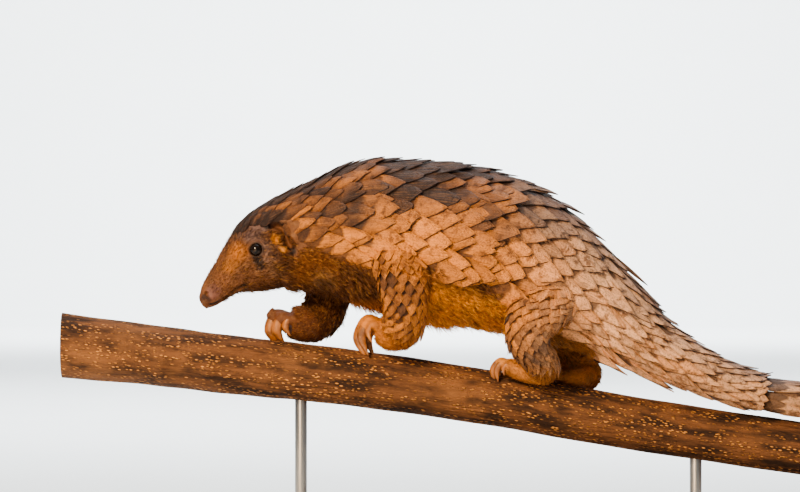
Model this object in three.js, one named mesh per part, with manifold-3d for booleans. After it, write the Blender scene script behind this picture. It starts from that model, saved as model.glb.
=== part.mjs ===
// A white-bellied tree pangolin walking along a branch, at life size, on a plain display stand.
//
// Millimetres, +Z up. The origin is the middle of the underside of the stand's base. The animal
// walks towards -X with its left side towards -Y, head low, back arched, and its long gripping
// tail laid on the branch and wound once and a half round it.
//
// The body, the tail and the legs are skins laid on a lattice of diamond cells, two rows of
// lattice points to a cell. Where horn scales grow, each cell is one raised plate: its front
// corner lies on the skin, its side corners stand half a plate high and its rear tip a full
// plate high, so that every plate ends in a step over the two plates behind it.

import * as THREE from "three";
import { mergeVertices } from "three/addons/utils/BufferGeometryUtils.js";
import Module from "manifold-3d";

const wasm = await Module();
wasm.setup();

// Stand
const BASE_LENGTH = 470;
const BASE_WIDTH = 170;
const BASE_THICK = 14;
const BASE_CORNER = 26;
const BASE_BEVEL = 2;
const ROD_RADIUS = 4.5;
const ROD_SINK = 7;
const ROD_SIDES = 16;
const ROD_FRONT_X = -168;
const ROD_REAR_X = 128;

// Clear gap between neighbouring nodes, and what is added to it against the branch's facets
const GAP = 0.3;
const FACET_SPARE = 0.1;

// Branch: axis points [x, z] and radius, cut square at both ends
const BRANCH_STATIONS = [
  [-347, 154, 25],
  [-288, 147.5, 23.5],
  [-242, 142, 23],
  [-194, 137, 22.5],
  [-155, 132.5, 22],
  [-95, 125, 21.8],
  [-20, 113.5, 21.4],
  [62, 99, 21],
  [145, 85.5, 20.6],
  [227, 74, 20.6],
  [300, 66, 20.3],
  [347, 62, 20],
];
const BRANCH_SIDES = 12;
const BRANCH_STEP = 31;

// Head, neck and torso: back line [x, z], belly line [x, z] and half width, from nose to tail root
const BODY_STATIONS = [
  { back: [-244.5, 191], belly: [-238.5, 181.5], half: 3.4 },
  { back: [-243, 197.8], belly: [-230.3, 184.3], half: 6.6 },
  { back: [-239.3, 204.5], belly: [-222, 190.3], half: 8.6 },
  { back: [-233.3, 214.3], belly: [-215.3, 193.3], half: 10.8 },
  { back: [-225.8, 228.5], belly: [-206.3, 194], half: 13.6 },
  { back: [-216.8, 244.3], belly: [-192.8, 194], half: 17.4 },
  { back: [-206.3, 254.8], belly: [-179.3, 196.3], half: 20.4 },
  { back: [-194.3, 262.3], belly: [-168, 197], half: 22.6 },
  { back: [-177.8, 270.5], belly: [-153.8, 194.8], half: 25 },
  { back: [-159, 278.8], belly: [-136.5, 191], half: 29.5 },
  { back: [-138.8, 288.3], belly: [-117.8, 184.3], half: 36 },
  { back: [-114, 294.8], belly: [-95.3, 177.5], half: 44 },
  { back: [-87.8, 293.8], belly: [-74.3, 172.3], half: 50 },
  { back: [-57.8, 292], belly: [-51.8, 167.8], half: 53.5 },
  { back: [-27.8, 286.8], belly: [-29.3, 164], half: 55 },
  { back: [1.5, 277], belly: [-9.8, 161], half: 53.5 },
  { back: [27, 261.5], belly: [7.5, 157.3], half: 49.5 },
  { back: [50, 241], belly: [24.8, 152.8], half: 43 },
  { back: [69.5, 218], belly: [47.3, 147.5], half: 36 },
];
const BODY_COLUMNS = 18;
// Plate height, row spacing (half a scale's length) and the angle from the back's midline down
// to which scales grow, each at station numbers along the body
const BODY_PLATE = [[0, 0], [4.4, 0], [5.2, 1.2], [7, 1.6], [9, 2.3], [11, 3.1], [18, 3.1]];
const BODY_ROW = [[0, 5], [3, 6.4], [5, 5.6], [7, 5.8], [8.5, 7.4], [10, 9.2], [11.5, 11.1], [18, 11.1]];
const BODY_SCALED_DEG = [
  [0, -1], [4.8, -1], [5.1, 25], [5.6, 48], [6.2, 62], [7, 78], [8, 101], [9, 112], [10, 120],
  [11, 119], [12, 112], [13, 114], [14, 122], [15, 127], [16, 131], [17, 142], [18, 156],
];
const NECK_STATION = 7.5;
const TORSO_STATION = 9.2;

// Tail: free part [x, z, half thickness, half width], then laid on the branch and wound round it
const TAIL_FREE = [
  [82, 163, 27, 32.5],
  [109, 145.8, 21, 29],
  [139, 130.5, 17.2, 26],
];
const TAIL_LENGTH = 500;
const TAIL_LAID_X = 168;
const TAIL_LANDING = 30;
const TAIL_WIND_X = 196;
const TAIL_WOUND_X = 241;
const TAIL_WIND_DEG = 73;
const TAIL_THICK = [[0, 34.9], [120, 15.6], [250, 10.5], [400, 6.8], [500, 2.6]];
const TAIL_HALF = [[0, 36], [120, 24.5], [250, 18.5], [400, 12.5], [485, 7], [500, 4]];
const TAIL_STEP = 14;
const TAIL_COLUMNS = 8;
const TAIL_PLATE = [[0, 3], [60, 2.6], [250, 1.9], [500, 0.9]];
const TAIL_ROW = [[0, 11.1], [120, 10.4], [300, 9.2], [500, 8]];
const TAIL_PARTS = [0, 95, 185, 265, 340, 415, 500];
const TAIL_TO_BRANCH = 1.3;
const TAIL_SCALED_DEG = 138;
// The underside's plates are lower, as a share of the upper side's
const TAIL_UNDER = 0.4;

// Lattice details, in shares of a row or column: how far a plate's edges bow out, and how far
// its tip reaches over the step
const EDGE_BOW = 0.24;
const TIP_REACH = 0.3;
// How much narrower a section is above its middle than below, as a share of its half width
const BACK_NARROWER = 0.08;

// Eyes, lids, nostrils, mouth and ears, placed on the head by station and angle from the midline
const EYE_RADIUS = 5.2;
const EYE_STATION = 5.42;
const EYE_DEG = 82;
const EYE_SINK = 2.6;
const LID_THICK = 1.3;
const LID_OPEN = [4.6, 4, 6];
const NOSTRIL_STATION = 0.75;
const NOSTRIL_DEG = 76;
const NOSTRIL_SIZE = [2.2, 1.2, 1.1];
const NOSE_PAD_SIZE = [6.4, 7.2, 7.6];
const NOSE_PAD_STATION = 1.1;
const MOUTH_DEG = 128;
const MOUTH_STATIONS = [0.5, 1.4, 2.4, 3.4];
const MOUTH_GROOVE = 0.7;
const MOUTH_OVERLAP = 0.4;
const EAR_STATION = 6.85;
const EAR_DEG = 80;
const EAR_SIZE = [8.6, 3.4, 4.2];
const EAR_CUP_SIZE = [6.6, 2.1, 3.2];
const EAR_TILT_DEG = 12;
const EAR_CUP_BACK = -1.6;
const EAR_CUP_OUT = 3.4;

// Legs: [x, y, z, half depth, half width]; y is the distance from the body's middle plane
const FORELEG_LEFT = [
  [-93, 24, 229, 24, 15],
  [-92, 36, 212, 20.5, 15],
  [-90.5, 41, 198, 17.5, 13.5],
  [-89.5, 37.5, 186, 15, 12.5],
  [-90, 30, 175, 14.5, 12.5],
  [-94, 22, 166, 14.5, 12.5],
  [-100, 15, 164.5, 14.5, 12.5],
  [-106.6, 11.4, 166.4, 12.4, 12.4],
];
const FORELEG_RIGHT = [
  [-127.5, 20, 225.5, 22, 13],
  [-138, 27.5, 211, 19, 13.5],
  [-145.5, 29, 198.5, 17, 12.5],
  [-149, 27, 188, 15, 12],
  [-152.5, 21, 177.5, 14.5, 12],
  [-159.5, 15, 171, 14.5, 12.5],
  [-167.5, 11, 170, 14, 12.5],
  [-175.5, 9, 171.5, 12, 12],
];
const HINDLEG_LEFT = [
  [28, 22, 202, 25, 14],
  [14, 37, 186, 22, 14],
  [3, 45, 170, 18, 13],
  [2, 43, 155.5, 14, 12],
  [10, 35, 144, 11, 11],
  [14, 26, 136, 9.5, 10.6],
  [2, 17, 134, 8, 11.2],
  [-13, 13.5, 138.5, 6.6, 10.6],
];
const HINDLEG_RIGHT_SHIFT = 34;
const HINDLEG_RIGHT_SHIFT_Z = [-202, -136];
const LEG_COLUMNS = 10;
const LEG_ROW = 7.4;
const LEG_PLATE = 2;
const LEG_SCALED = [0.2, 0.5];
const LEG_OUTER_SINE = 0.17;
// Extra reach, in stations and in the sine of the angle, of the pocket cut for a leg's plates
const POCKET_SPARE = 1.3;
// Where a leg is divided, as shares of its length: at the knee and where the paw begins
const KNEE_SHARE = 0.42;
const PAW_SHARE = { fore: 0.62, hind: 0.72 };

// Claws from inner to outer digit: length, half width and the digit's place across the paw
const FORE_CLAWS = [
  { length: 13, half: 1.9, spread: -0.86 },
  { length: 23, half: 3.1, spread: -0.5 },
  { length: 27, half: 3.8, spread: -0.02 },
  { length: 23, half: 3.2, spread: 0.47 },
  { length: 14, half: 2.1, spread: 0.86 },
];
const HIND_CLAWS = [
  { length: 8, half: 1.5, spread: -0.8 },
  { length: 14, half: 2.1, spread: -0.42 },
  { length: 16, half: 2.4, spread: 0 },
  { length: 14, half: 2.1, spread: 0.42 },
  { length: 9, half: 1.6, spread: 0.8 },
];
const CLAW_SIDES = 5;
// A right foreclaw's share of a left one's length, because that paw stands higher on the branch
const FORE_CLAW_RIGHT = 0.82;
// A digit's root behind the paw's end, in stations, and its knuckle and bend as shares of length
const DIGIT_ROOT = 0.4;
const DIGIT_SPREAD = 0.92;
const DIGIT_FAN = 5;
const KNUCKLE_AHEAD = [8, 0.3];
const KNUCKLE_UP = 1;
// How far each claw's bend and tip lie ahead of its knuckle, and its bend below it
const FORE_CURL = { bend: 0.14, down: 0.5, tip: -0.28 };
const HIND_CURL = { bend: 0.22, down: 0.45, tip: -0.02 };
const CLAW_TAPER = [1.7, 1.6, 1];
const CLAW_TIP = 0.35;

// Colours, from the photograph's own light browns
const material = (color, roughness = 0.7) =>
  new THREE.MeshStandardMaterial({ color, roughness, metalness: 0 });
const SCALE_HORN = material(0x9a6b48, 0.5);
const FACE_SKIN = material(0x8a6656, 0.65);
const EYE_DARK = material(0x14100e, 0.08);
const PAW_SKIN = material(0xa8744c, 0.65);
const BARK = material(0x6b4630, 0.85);
const STAND_WOOD = material(0x3a2a20, 0.4);
const STAND_METAL = new THREE.MeshStandardMaterial({ color: 0x6f675c, roughness: 0.35, metalness: 1 });

const LEFT = new THREE.Vector3(0, -1, 0);
const radians = THREE.MathUtils.degToRad;

// Value at x on the broken line through [x, value] pairs
function along(table, x) {
  const last = table.length - 1;
  if (x <= table[0][0]) return table[0][1];
  if (x >= table[last][0]) return table[last][1];
  const i = table.findIndex((pair) => pair[0] > x);
  const [x0, y0] = table[i - 1];
  const [x1, y1] = table[i];
  return y0 + ((x - x0) / (x1 - x0)) * (y1 - y0);
}

// Solids and geometries
function solidOf(geometry) {
  const bare = new THREE.BufferGeometry();
  const source = geometry.index ? geometry.toNonIndexed() : geometry;
  bare.setAttribute("position", source.getAttribute("position"));
  const merged = mergeVertices(bare, 1e-4);
  const kept = [];
  const index = merged.index.array;
  for (let i = 0; i < index.length; i += 3) {
    const [a, b, c] = index.subarray(i, i + 3);
    if (a !== b && b !== c && c !== a) kept.push(a, b, c);
  }
  return new wasm.Manifold(
    new wasm.Mesh({
      numProp: 3,
      vertProperties: new Float32Array(merged.attributes.position.array),
      triVerts: new Uint32Array(kept),
    }),
  );
}

function geometryOf(solid) {
  const mesh = solid.getMesh();
  const geometry = new THREE.BufferGeometry();
  geometry.setAttribute("position", new THREE.BufferAttribute(mesh.vertProperties, 3));
  geometry.setIndex(new THREE.BufferAttribute(mesh.triVerts, 1));
  return geometry;
}

const largest = (solid) =>
  solid.decompose().reduce((best, body) => (body.volume() > best.volume() ? body : best));

// A spine is a row of sections, read at any station number between them. Each section has a
// centre, an up and a side direction, and the half sizes up, down and sideways.
function makeSpine(sections) {
  const curve = (pick) => new THREE.CatmullRomCurve3(sections.map(pick), false, "centripetal");
  const centres = curve((s) => s.centre);
  const ups = curve((s) => s.up);
  const sides = curve((s) => s.side);
  const sizes = curve((s) => new THREE.Vector3(s.rise, s.drop, s.half));
  const last = sections.length - 1;
  const at = (station) => {
    const t = THREE.MathUtils.clamp(station / last, 0, 1);
    const size = sizes.getPoint(t);
    return {
      centre: centres.getPoint(t),
      up: ups.getPoint(t).normalize(),
      side: sides.getPoint(t).normalize(),
      rise: size.x,
      drop: size.y,
      half: size.z,
    };
  };
  return { at, last };
}

// The point of a spine's skin at an angle from the midline of the back, lifted off the skin
function skinPoint(spine, station, angle, lift) {
  const s = spine.at(station);
  const cos = Math.cos(angle);
  const tall = (cos > 0 ? s.rise : s.drop) + lift;
  const wide = (s.half + lift) * (1 - BACK_NARROWER * cos * Math.abs(Math.sin(angle)));
  return s.centre
    .clone()
    .addScaledVector(s.up, tall * cos)
    .addScaledVector(s.side, wide * Math.sin(angle));
}

// Station numbers of lattice rows, a given spacing apart along the line of the back
function layRows(spine, spacing, from, to) {
  const fine = 0.01;
  const rows = [from];
  let walked = 0;
  let last = skinPoint(spine, from, 0, 0);
  for (let station = from + fine; station < to; station += fine) {
    const here = skinPoint(spine, station, 0, 0);
    walked += here.distanceTo(last);
    last = here;
    if (walked >= spacing(station)) {
      rows.push(station);
      walked = 0;
    }
  }
  rows[rows.length - 1] = to;
  return rows;
}

// The closed skin of a spine between two of its rows, with its plates raised
function latticeSkin(spine, rows, columns, options = {}) {
  const { first = 0, end = rows.length - 1, bow = 0, ends = 0, height = () => 0, grow = () => 0 } = options;
  const step = (2 * Math.PI) / columns;
  const stationOf = (row) => {
    const low = Math.min(Math.floor(row), rows.length - 2);
    return rows[low] + (row - low) * (rows[low + 1] - rows[low]);
  };
  const lengthwise = (row) => {
    const near = Math.min(row - first, end - row);
    return near < 0.5 ? 0 : Math.min(1, near);
  };
  const none = new THREE.Vector3();
  // How far an end row stands back from its own station, to leave half the gap to the next node
  const inset = (row) => {
    if (row > first && row < end) return none;
    const near = Math.min(Math.max(row, 1), rows.length - 2);
    const run = spine.at(rows[near + 1]).centre.sub(spine.at(rows[near - 1]).centre).normalize();
    return run.multiplyScalar(row <= first ? ends : -ends);
  };
  const angleOf = (row, column) => (column + (row % 2) / 2) * step;
  // The angle from the back's midline, from -180 to 180 degrees
  const folded = (angle) => THREE.MathUtils.euclideanModulo(angle + Math.PI, 2 * Math.PI) - Math.PI;
  const plateAt = (row, angle) => height(stationOf(row), folded(angle));
  // An end row keeps to one height, so that its rim is a plain ring
  const vertex = (row, angle, asked, tall) => {
    const level = row === first || row === end ? 0.5 : asked;
    const reach = tall > 0 ? TIP_REACH * level * lengthwise(row) : 0;
    const station = stationOf(Math.min(row + reach, rows.length - 1));
    const point = skinPoint(spine, station, angle, tall * level + grow(station, folded(angle)));
    return Number.isInteger(row) ? point.add(inset(row)) : point;
  };
  const corner = (row, column, level) => {
    const angle = angleOf(row, column);
    return vertex(row, angle, level, plateAt(row, angle));
  };
  // The bowed middle of the edge from a point to the one diagonally behind it, or null on bare skin
  const middle = (row, column, turn, level) => {
    const from = angleOf(row, column);
    const to = from + (turn * step) / 2;
    const tall = (plateAt(row, from) + plateAt(row + 1, to)) / 2;
    if (!bow || tall === 0) return null;
    const angle = (from + to) / 2 + (bow * (from - to)) / 2;
    return vertex(row + 0.5 + bow / 2, angle, level, tall);
  };
  // The column, one row on, of the point diagonally behind on the side that turn gives
  const behind = (row, column, turn) => column + (row % 2) + (turn < 0 ? -1 : 0);

  const positions = [];
  const fan = (points) => {
    const outline = points.filter(Boolean);
    for (let i = 1; i + 1 < outline.length; i += 1) {
      for (const p of [outline[0], outline[i], outline[i + 1]]) positions.push(p.x, p.y, p.z);
    }
  };
  const wall = (row, column, turn) => {
    const next = behind(row, column, turn);
    const high = [corner(row, column, 0.5), middle(row, column, turn, 0.75), corner(row + 1, next, 1)];
    const low = [corner(row, column, 0), middle(row, column, turn, 0.25), corner(row + 1, next, 0.5)];
    for (const [i, j] of high[1] ? [[0, 1], [1, 2]] : [[0, 2]]) {
      const quad = [low[i], low[j], high[j], high[i]];
      fan(turn > 0 ? quad : quad.reverse());
    }
  };
  for (let column = 0; column < columns; column += 1) {
    for (let row = first - 1; row < end; row += 1) {
      const front = row >= first;
      const back = row + 2 <= end;
      const even = (row + 2) % 2;
      const left = column + even;
      const right = left - 1;
      const side = row + 1;
      const points = [];
      if (back) points.push(corner(row + 2, behind(side, right, 1), 1));
      if (back) points.push(middle(side, left, -1, 0.75));
      points.push(corner(side, left, 0.5));
      if (front) {
        points.push(middle(row, column, 1, 0.25), corner(row, column, 0), middle(row, column, -1, 0.25));
      }
      points.push(corner(side, right, 0.5));
      if (back) points.push(middle(side, right, 1, 0.75));
      fan(points);
      if (front) {
        wall(row, column, 1);
        wall(row, column, -1);
      }
    }
  }
  for (const [row, turn] of [[first, 1], [end, -1]]) {
    const centre = spine.at(rows[row]).centre.add(inset(row));
    for (let column = 0; column < columns; column += 1) {
      const rim = [corner(row, column, 0.5), corner(row, column + 1, 0.5)];
      fan([centre, ...(turn > 0 ? rim : rim.reverse())]);
    }
  }
  const geometry = new THREE.BufferGeometry();
  geometry.setAttribute("position", new THREE.Float32BufferAttribute(positions, 3));
  const solid = solidOf(geometry);
  if (solid.volume() > 0) return solid;
  const flipped = [];
  for (let i = 0; i < positions.length; i += 9) {
    const [a, b, c] = [0, 3, 6].map((k) => positions.slice(i + k, i + k + 3));
    flipped.push(...a, ...c, ...b);
  }
  geometry.setAttribute("position", new THREE.Float32BufferAttribute(flipped, 3));
  return solidOf(geometry);
}

// An ellipsoid with its own x, y and z axes along given directions
function ellipsoid(centre, sizes, axes, across = 12, high = 8) {
  const geometry = new THREE.SphereGeometry(1, across, high);
  const [x, y, z] = axes;
  const handed = x.clone().cross(y).dot(z) > 0 ? 1 : -1;
  const matrix = new THREE.Matrix4().makeBasis(
    x.clone().multiplyScalar(sizes[0] * handed),
    y.clone().multiplyScalar(sizes[1]),
    z.clone().multiplyScalar(sizes[2]),
  );
  matrix.setPosition(centre);
  return solidOf(geometry.applyMatrix4(matrix));
}

// Directions on a spine's skin: out of it, along it towards the tail, and round it
function skinAxes(spine, station, angle) {
  const here = skinPoint(spine, station, angle, 0);
  const lengthwise = skinPoint(spine, station + 0.05, angle, 0).sub(here).normalize();
  const round = skinPoint(spine, station, angle + 0.02, 0).sub(here).normalize();
  const out = new THREE.Vector3().crossVectors(lengthwise, round).normalize();
  if (out.dot(here.clone().sub(spine.at(station).centre)) < 0) out.negate();
  const across = new THREE.Vector3().crossVectors(out, lengthwise).normalize();
  return { here, out, lengthwise, across };
}

// Branch
const branchSpine = makeSpine(
  BRANCH_STATIONS.map(([x, z, radius]) => ({
    centre: new THREE.Vector3(x, 0, z),
    up: new THREE.Vector3(0, 0, 1),
    side: LEFT,
    rise: radius,
    drop: radius,
    half: radius,
  })),
);
const branchRows = layRows(branchSpine, () => BRANCH_STEP, 0, branchSpine.last);
const branchSolid = (grow) => latticeSkin(branchSpine, branchRows, BRANCH_SIDES, { grow: () => grow });

// Axis point and radius of the branch at an x
function branchAt(x) {
  let low = 0;
  let high = branchSpine.last;
  for (let i = 0; i < 40; i += 1) {
    const mid = (low + high) / 2;
    if (branchSpine.at(mid).centre.x < x) low = mid;
    else high = mid;
  }
  const { centre, half } = branchSpine.at(low);
  const ahead = branchSpine.at(low + 0.02).centre.sub(branchSpine.at(low - 0.02).centre).normalize();
  return { centre, radius: half, ahead };
}

// Head, neck and torso
const bodySpine = makeSpine(
  BODY_STATIONS.map(({ back, belly, half }, i) => {
    const top = new THREE.Vector3(back[0], 0, back[1]);
    const bottom = new THREE.Vector3(belly[0], 0, belly[1]);
    const plate = along(BODY_PLATE, i);
    const tall = top.distanceTo(bottom) / 2 - plate;
    return {
      centre: top.clone().add(bottom).multiplyScalar(0.5),
      up: top.clone().sub(bottom).normalize(),
      side: LEFT,
      rise: tall,
      drop: tall,
      half: half - plate,
    };
  }),
);
const bodyRows = layRows(bodySpine, (s) => along(BODY_ROW, s), 0, bodySpine.last);
const bodyHeight = (station, angle) =>
  Math.abs(angle) < radians(along(BODY_SCALED_DEG, station)) ? along(BODY_PLATE, station) : 0;
const rowNear = (rows, station) =>
  rows.reduce((best, s, i) => (Math.abs(s - station) < Math.abs(rows[best] - station) ? i : best), 0);
const neckRow = rowNear(bodyRows, NECK_STATION);
const torsoRow = rowNear(bodyRows, TORSO_STATION);
const bodyPart = (first, end) =>
  latticeSkin(bodySpine, bodyRows, BODY_COLUMNS, {
    first,
    end,
    height: bodyHeight,
    bow: EDGE_BOW,
    ends: GAP / 2,
  });

// Tail: stations every TAIL_STEP along it, free at first, then laid and wound round the branch
function tailSections() {
  const root = BODY_STATIONS[BODY_STATIONS.length - 1];
  const top = new THREE.Vector3(root.back[0], 0, root.back[1]);
  const bottom = new THREE.Vector3(root.belly[0], 0, root.belly[1]);
  const sections = [
    {
      centre: top.clone().add(bottom).multiplyScalar(0.5),
      up: top.clone().sub(bottom).normalize(),
      side: LEFT,
      thick: top.distanceTo(bottom) / 2,
      half: root.half,
    },
  ];
  TAIL_FREE.forEach(([x, z, thick, half], i) => {
    const before = sections[i].centre;
    const after = TAIL_FREE[Math.min(TAIL_FREE.length - 1, i + 1)];
    const run = new THREE.Vector3(after[0] - before.x, 0, after[1] - before.z).normalize();
    const up = new THREE.Vector3(-run.z, 0, run.x);
    sections.push({ centre: new THREE.Vector3(x, 0, z), up, side: LEFT, thick, half });
  });
  let length = 0;
  sections.forEach((section, i) => {
    if (i > 0) length += section.centre.distanceTo(sections[i - 1].centre);
    section.length = length;
  });
  let x = TAIL_LAID_X;
  let turn = 0;
  const landing = branchAt(x);
  const onTop = landing.centre.z + landing.radius + along(TAIL_THICK, length + TAIL_LANDING);
  let walked = length + sections[sections.length - 1].centre.distanceTo(new THREE.Vector3(x, 0, onTop));
  const fine = 1;
  const end = TAIL_LENGTH + fine / 2;
  let next = walked;
  while (walked <= end) {
    const { centre, radius, ahead } = branchAt(x);
    const thick = along(TAIL_THICK, walked);
    const lean = radians(TAIL_WIND_DEG) * THREE.MathUtils.smoothstep(x, TAIL_WIND_X, TAIL_WOUND_X);
    const arm = radius + TAIL_TO_BRANCH + thick;
    if (walked >= next - 1e-6 || walked + fine > end) {
      const upright = new THREE.Vector3(-ahead.z, 0, ahead.x);
      const right = new THREE.Vector3(0, 1, 0);
      const up = upright.clone().multiplyScalar(Math.cos(turn)).addScaledVector(right, Math.sin(turn));
      const around = right.clone().multiplyScalar(Math.cos(turn)).addScaledVector(upright, -Math.sin(turn));
      const run = ahead.clone().multiplyScalar(Math.cos(lean)).addScaledVector(around, Math.sin(lean));
      sections.push({
        centre: centre.clone().addScaledVector(up, arm),
        up,
        side: new THREE.Vector3().crossVectors(run, up),
        thick,
        half: along(TAIL_HALF, walked),
        length: walked,
      });
      next += TAIL_STEP;
    }
    x += fine * Math.cos(lean) * ahead.x;
    turn += (fine * Math.sin(lean)) / arm;
    walked += fine;
  }
  return sections;
}
const tailStations = tailSections();
const tailPlate = (length) => along(TAIL_PLATE, length);
const tailSpine = makeSpine(
  tailStations.map(({ centre, up, side, thick, half, length }) => ({
    centre,
    up,
    side,
    rise: thick - tailPlate(length),
    drop: thick - tailPlate(length) * TAIL_UNDER,
    half: half - tailPlate(length),
  })),
);
const tailWalk = tailStations.map((s, i) => [i, s.length]);
const tailLengthAt = (station) => along(tailWalk, station);
const tailRows = layRows(tailSpine, (s) => along(TAIL_ROW, tailLengthAt(s)), 0, tailSpine.last);
const tailHeight = (station, angle) =>
  Math.abs(angle) < radians(TAIL_SCALED_DEG) ? tailPlate(tailLengthAt(station)) : 0;
const tailWalks = tailRows.map(tailLengthAt);
const tailCuts = TAIL_PARTS.map((length) => rowNear(tailWalks, length));

// Legs
function legSpine(stations, side) {
  const points = stations.map(([x, y, z]) => new THREE.Vector3(x, -side * y, z));
  const line = new THREE.CatmullRomCurve3(points, false, "centripetal");
  const sections = stations.map(([, , , deep, wide], i) => {
    const run = line.getTangent(i / (stations.length - 1));
    const across = LEFT.clone().multiplyScalar(side);
    const up = new THREE.Vector3().crossVectors(across, run).normalize().multiplyScalar(-side);
    const flat = new THREE.Vector3().crossVectors(run, up).normalize();
    return { centre: points[i], up, side: flat, rise: deep, drop: deep, half: wide };
  });
  return makeSpine(sections);
}

function claws(spine, table, curl, side, share) {
  const tip = spine.at(spine.last);
  const before = spine.at(spine.last - DIGIT_ROOT);
  const ahead = tip.centre.clone().sub(before.centre).normalize();
  const across = new THREE.Vector3().crossVectors(ahead, tip.up).normalize();
  const down = tip.up.clone().multiplyScalar(tip.up.z > 0 ? -1 : 1);
  const off = (from, forwards, downwards) =>
    from.clone().addScaledVector(ahead, forwards).addScaledVector(down, downwards);
  return table.map(({ length: full, half, spread }) => {
    const length = full * share;
    const beside = before.centre.clone().addScaledVector(across, spread * before.half * DIGIT_SPREAD * side);
    const root = off(beside, -Math.abs(spread) * DIGIT_FAN, 0);
    const knuckle = off(root, KNUCKLE_AHEAD[0] + length * KNUCKLE_AHEAD[1], -KNUCKLE_UP);
    const bend = off(knuckle, length * curl.bend, length * curl.down);
    const end = off(knuckle, length * curl.tip, length);
    const line = new THREE.CatmullRomCurve3([root, knuckle, bend, end], false, "centripetal");
    const sizes = [...CLAW_TAPER.map((taper) => half * taper), CLAW_TIP];
    const sections = sizes.map((size, i) => {
      const run = line.getTangent(i / (sizes.length - 1));
      const up = new THREE.Vector3().crossVectors(run, across).normalize();
      return { centre: line.points[i], up, side: across.clone(), rise: size, drop: size, half: size };
    });
    return latticeSkin(makeSpine(sections), [0, 1, 2, 3], CLAW_SIDES);
  });
}

const SIDES = { left: 1, right: -1 };
const hindlegRight = HINDLEG_LEFT.map(([x, y, z, deep, wide]) => {
  const drop = branchAt(x).centre.z - branchAt(x + HINDLEG_RIGHT_SHIFT).centre.z;
  const reach = THREE.MathUtils.smoothstep(-z, ...HINDLEG_RIGHT_SHIFT_Z);
  return [x + HINDLEG_RIGHT_SHIFT * reach, y, z - drop * reach, deep, wide];
});
// Each leg is divided into the named nodes; the last of them carries the claws
const foreNodes = (side) => [`foreleg_${side}`, `forepaw_${side}`];
const hindNodes = (side) => [`hindleg_${side}`, `shank_${side}`, `hindfoot_${side}`];
const FORE_CUTS = [PAW_SHARE.fore];
const HIND_CUTS = [KNEE_SHARE, PAW_SHARE.hind];
const LEGS = [
  {
    nodes: foreNodes("left"),
    side: SIDES.left,
    stations: FORELEG_LEFT,
    cuts: FORE_CUTS,
    table: FORE_CLAWS,
    curl: FORE_CURL,
  },
  {
    nodes: foreNodes("right"),
    side: SIDES.right,
    stations: FORELEG_RIGHT,
    cuts: FORE_CUTS,
    table: FORE_CLAWS,
    curl: FORE_CURL,
    share: FORE_CLAW_RIGHT,
  },
  {
    nodes: hindNodes("left"),
    side: SIDES.left,
    stations: HINDLEG_LEFT,
    cuts: HIND_CUTS,
    table: HIND_CLAWS,
    curl: HIND_CURL,
  },
  {
    nodes: hindNodes("right"),
    side: SIDES.right,
    stations: hindlegRight,
    cuts: HIND_CUTS,
    table: HIND_CLAWS,
    curl: HIND_CURL,
  },
];

const group = new THREE.Group();
function place(name, solid, look) {
  const mesh = new THREE.Mesh(geometryOf(solid), look);
  mesh.name = name;
  group.add(mesh);
}

const clearOfBranch = branchSolid(GAP + FACET_SPARE);

// Stand
function baseSolid() {
  const shape = new THREE.Shape();
  const x = BASE_LENGTH / 2 - BASE_BEVEL;
  const y = BASE_WIDTH / 2 - BASE_BEVEL;
  shape.moveTo(-x + BASE_CORNER, -y);
  shape.lineTo(x - BASE_CORNER, -y);
  shape.absarc(x - BASE_CORNER, -y + BASE_CORNER, BASE_CORNER, -Math.PI / 2, 0);
  shape.absarc(x - BASE_CORNER, y - BASE_CORNER, BASE_CORNER, 0, Math.PI / 2);
  shape.absarc(-x + BASE_CORNER, y - BASE_CORNER, BASE_CORNER, Math.PI / 2, Math.PI);
  shape.absarc(-x + BASE_CORNER, -y + BASE_CORNER, BASE_CORNER, Math.PI, 1.5 * Math.PI);
  const geometry = new THREE.ExtrudeGeometry(shape, {
    depth: BASE_THICK - 2 * BASE_BEVEL,
    bevelThickness: BASE_BEVEL,
    bevelSize: BASE_BEVEL,
    bevelSegments: 1,
    curveSegments: 3,
  });
  return solidOf(geometry.translate(0, 0, BASE_BEVEL));
}

function rodSolid(x, grow) {
  const { centre, radius } = branchAt(x);
  const low = BASE_THICK - ROD_SINK;
  const high = centre.z - radius + ROD_SINK;
  const thick = ROD_RADIUS + grow;
  const geometry = new THREE.CylinderGeometry(thick, thick, high - low + 2 * grow, ROD_SIDES);
  return solidOf(geometry.rotateX(Math.PI / 2).translate(x, 0, (low + high) / 2));
}

const rodCuts = wasm.Manifold.union([rodSolid(ROD_FRONT_X, GAP), rodSolid(ROD_REAR_X, GAP)]);
place("stand_base", baseSolid().subtract(rodCuts), STAND_WOOD);
place("stand_rod_front", rodSolid(ROD_FRONT_X, 0), STAND_METAL);
place("stand_rod_rear", rodSolid(ROD_REAR_X, 0), STAND_METAL);
place("perch_branch", branchSolid(0).subtract(rodCuts), BARK);

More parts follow.
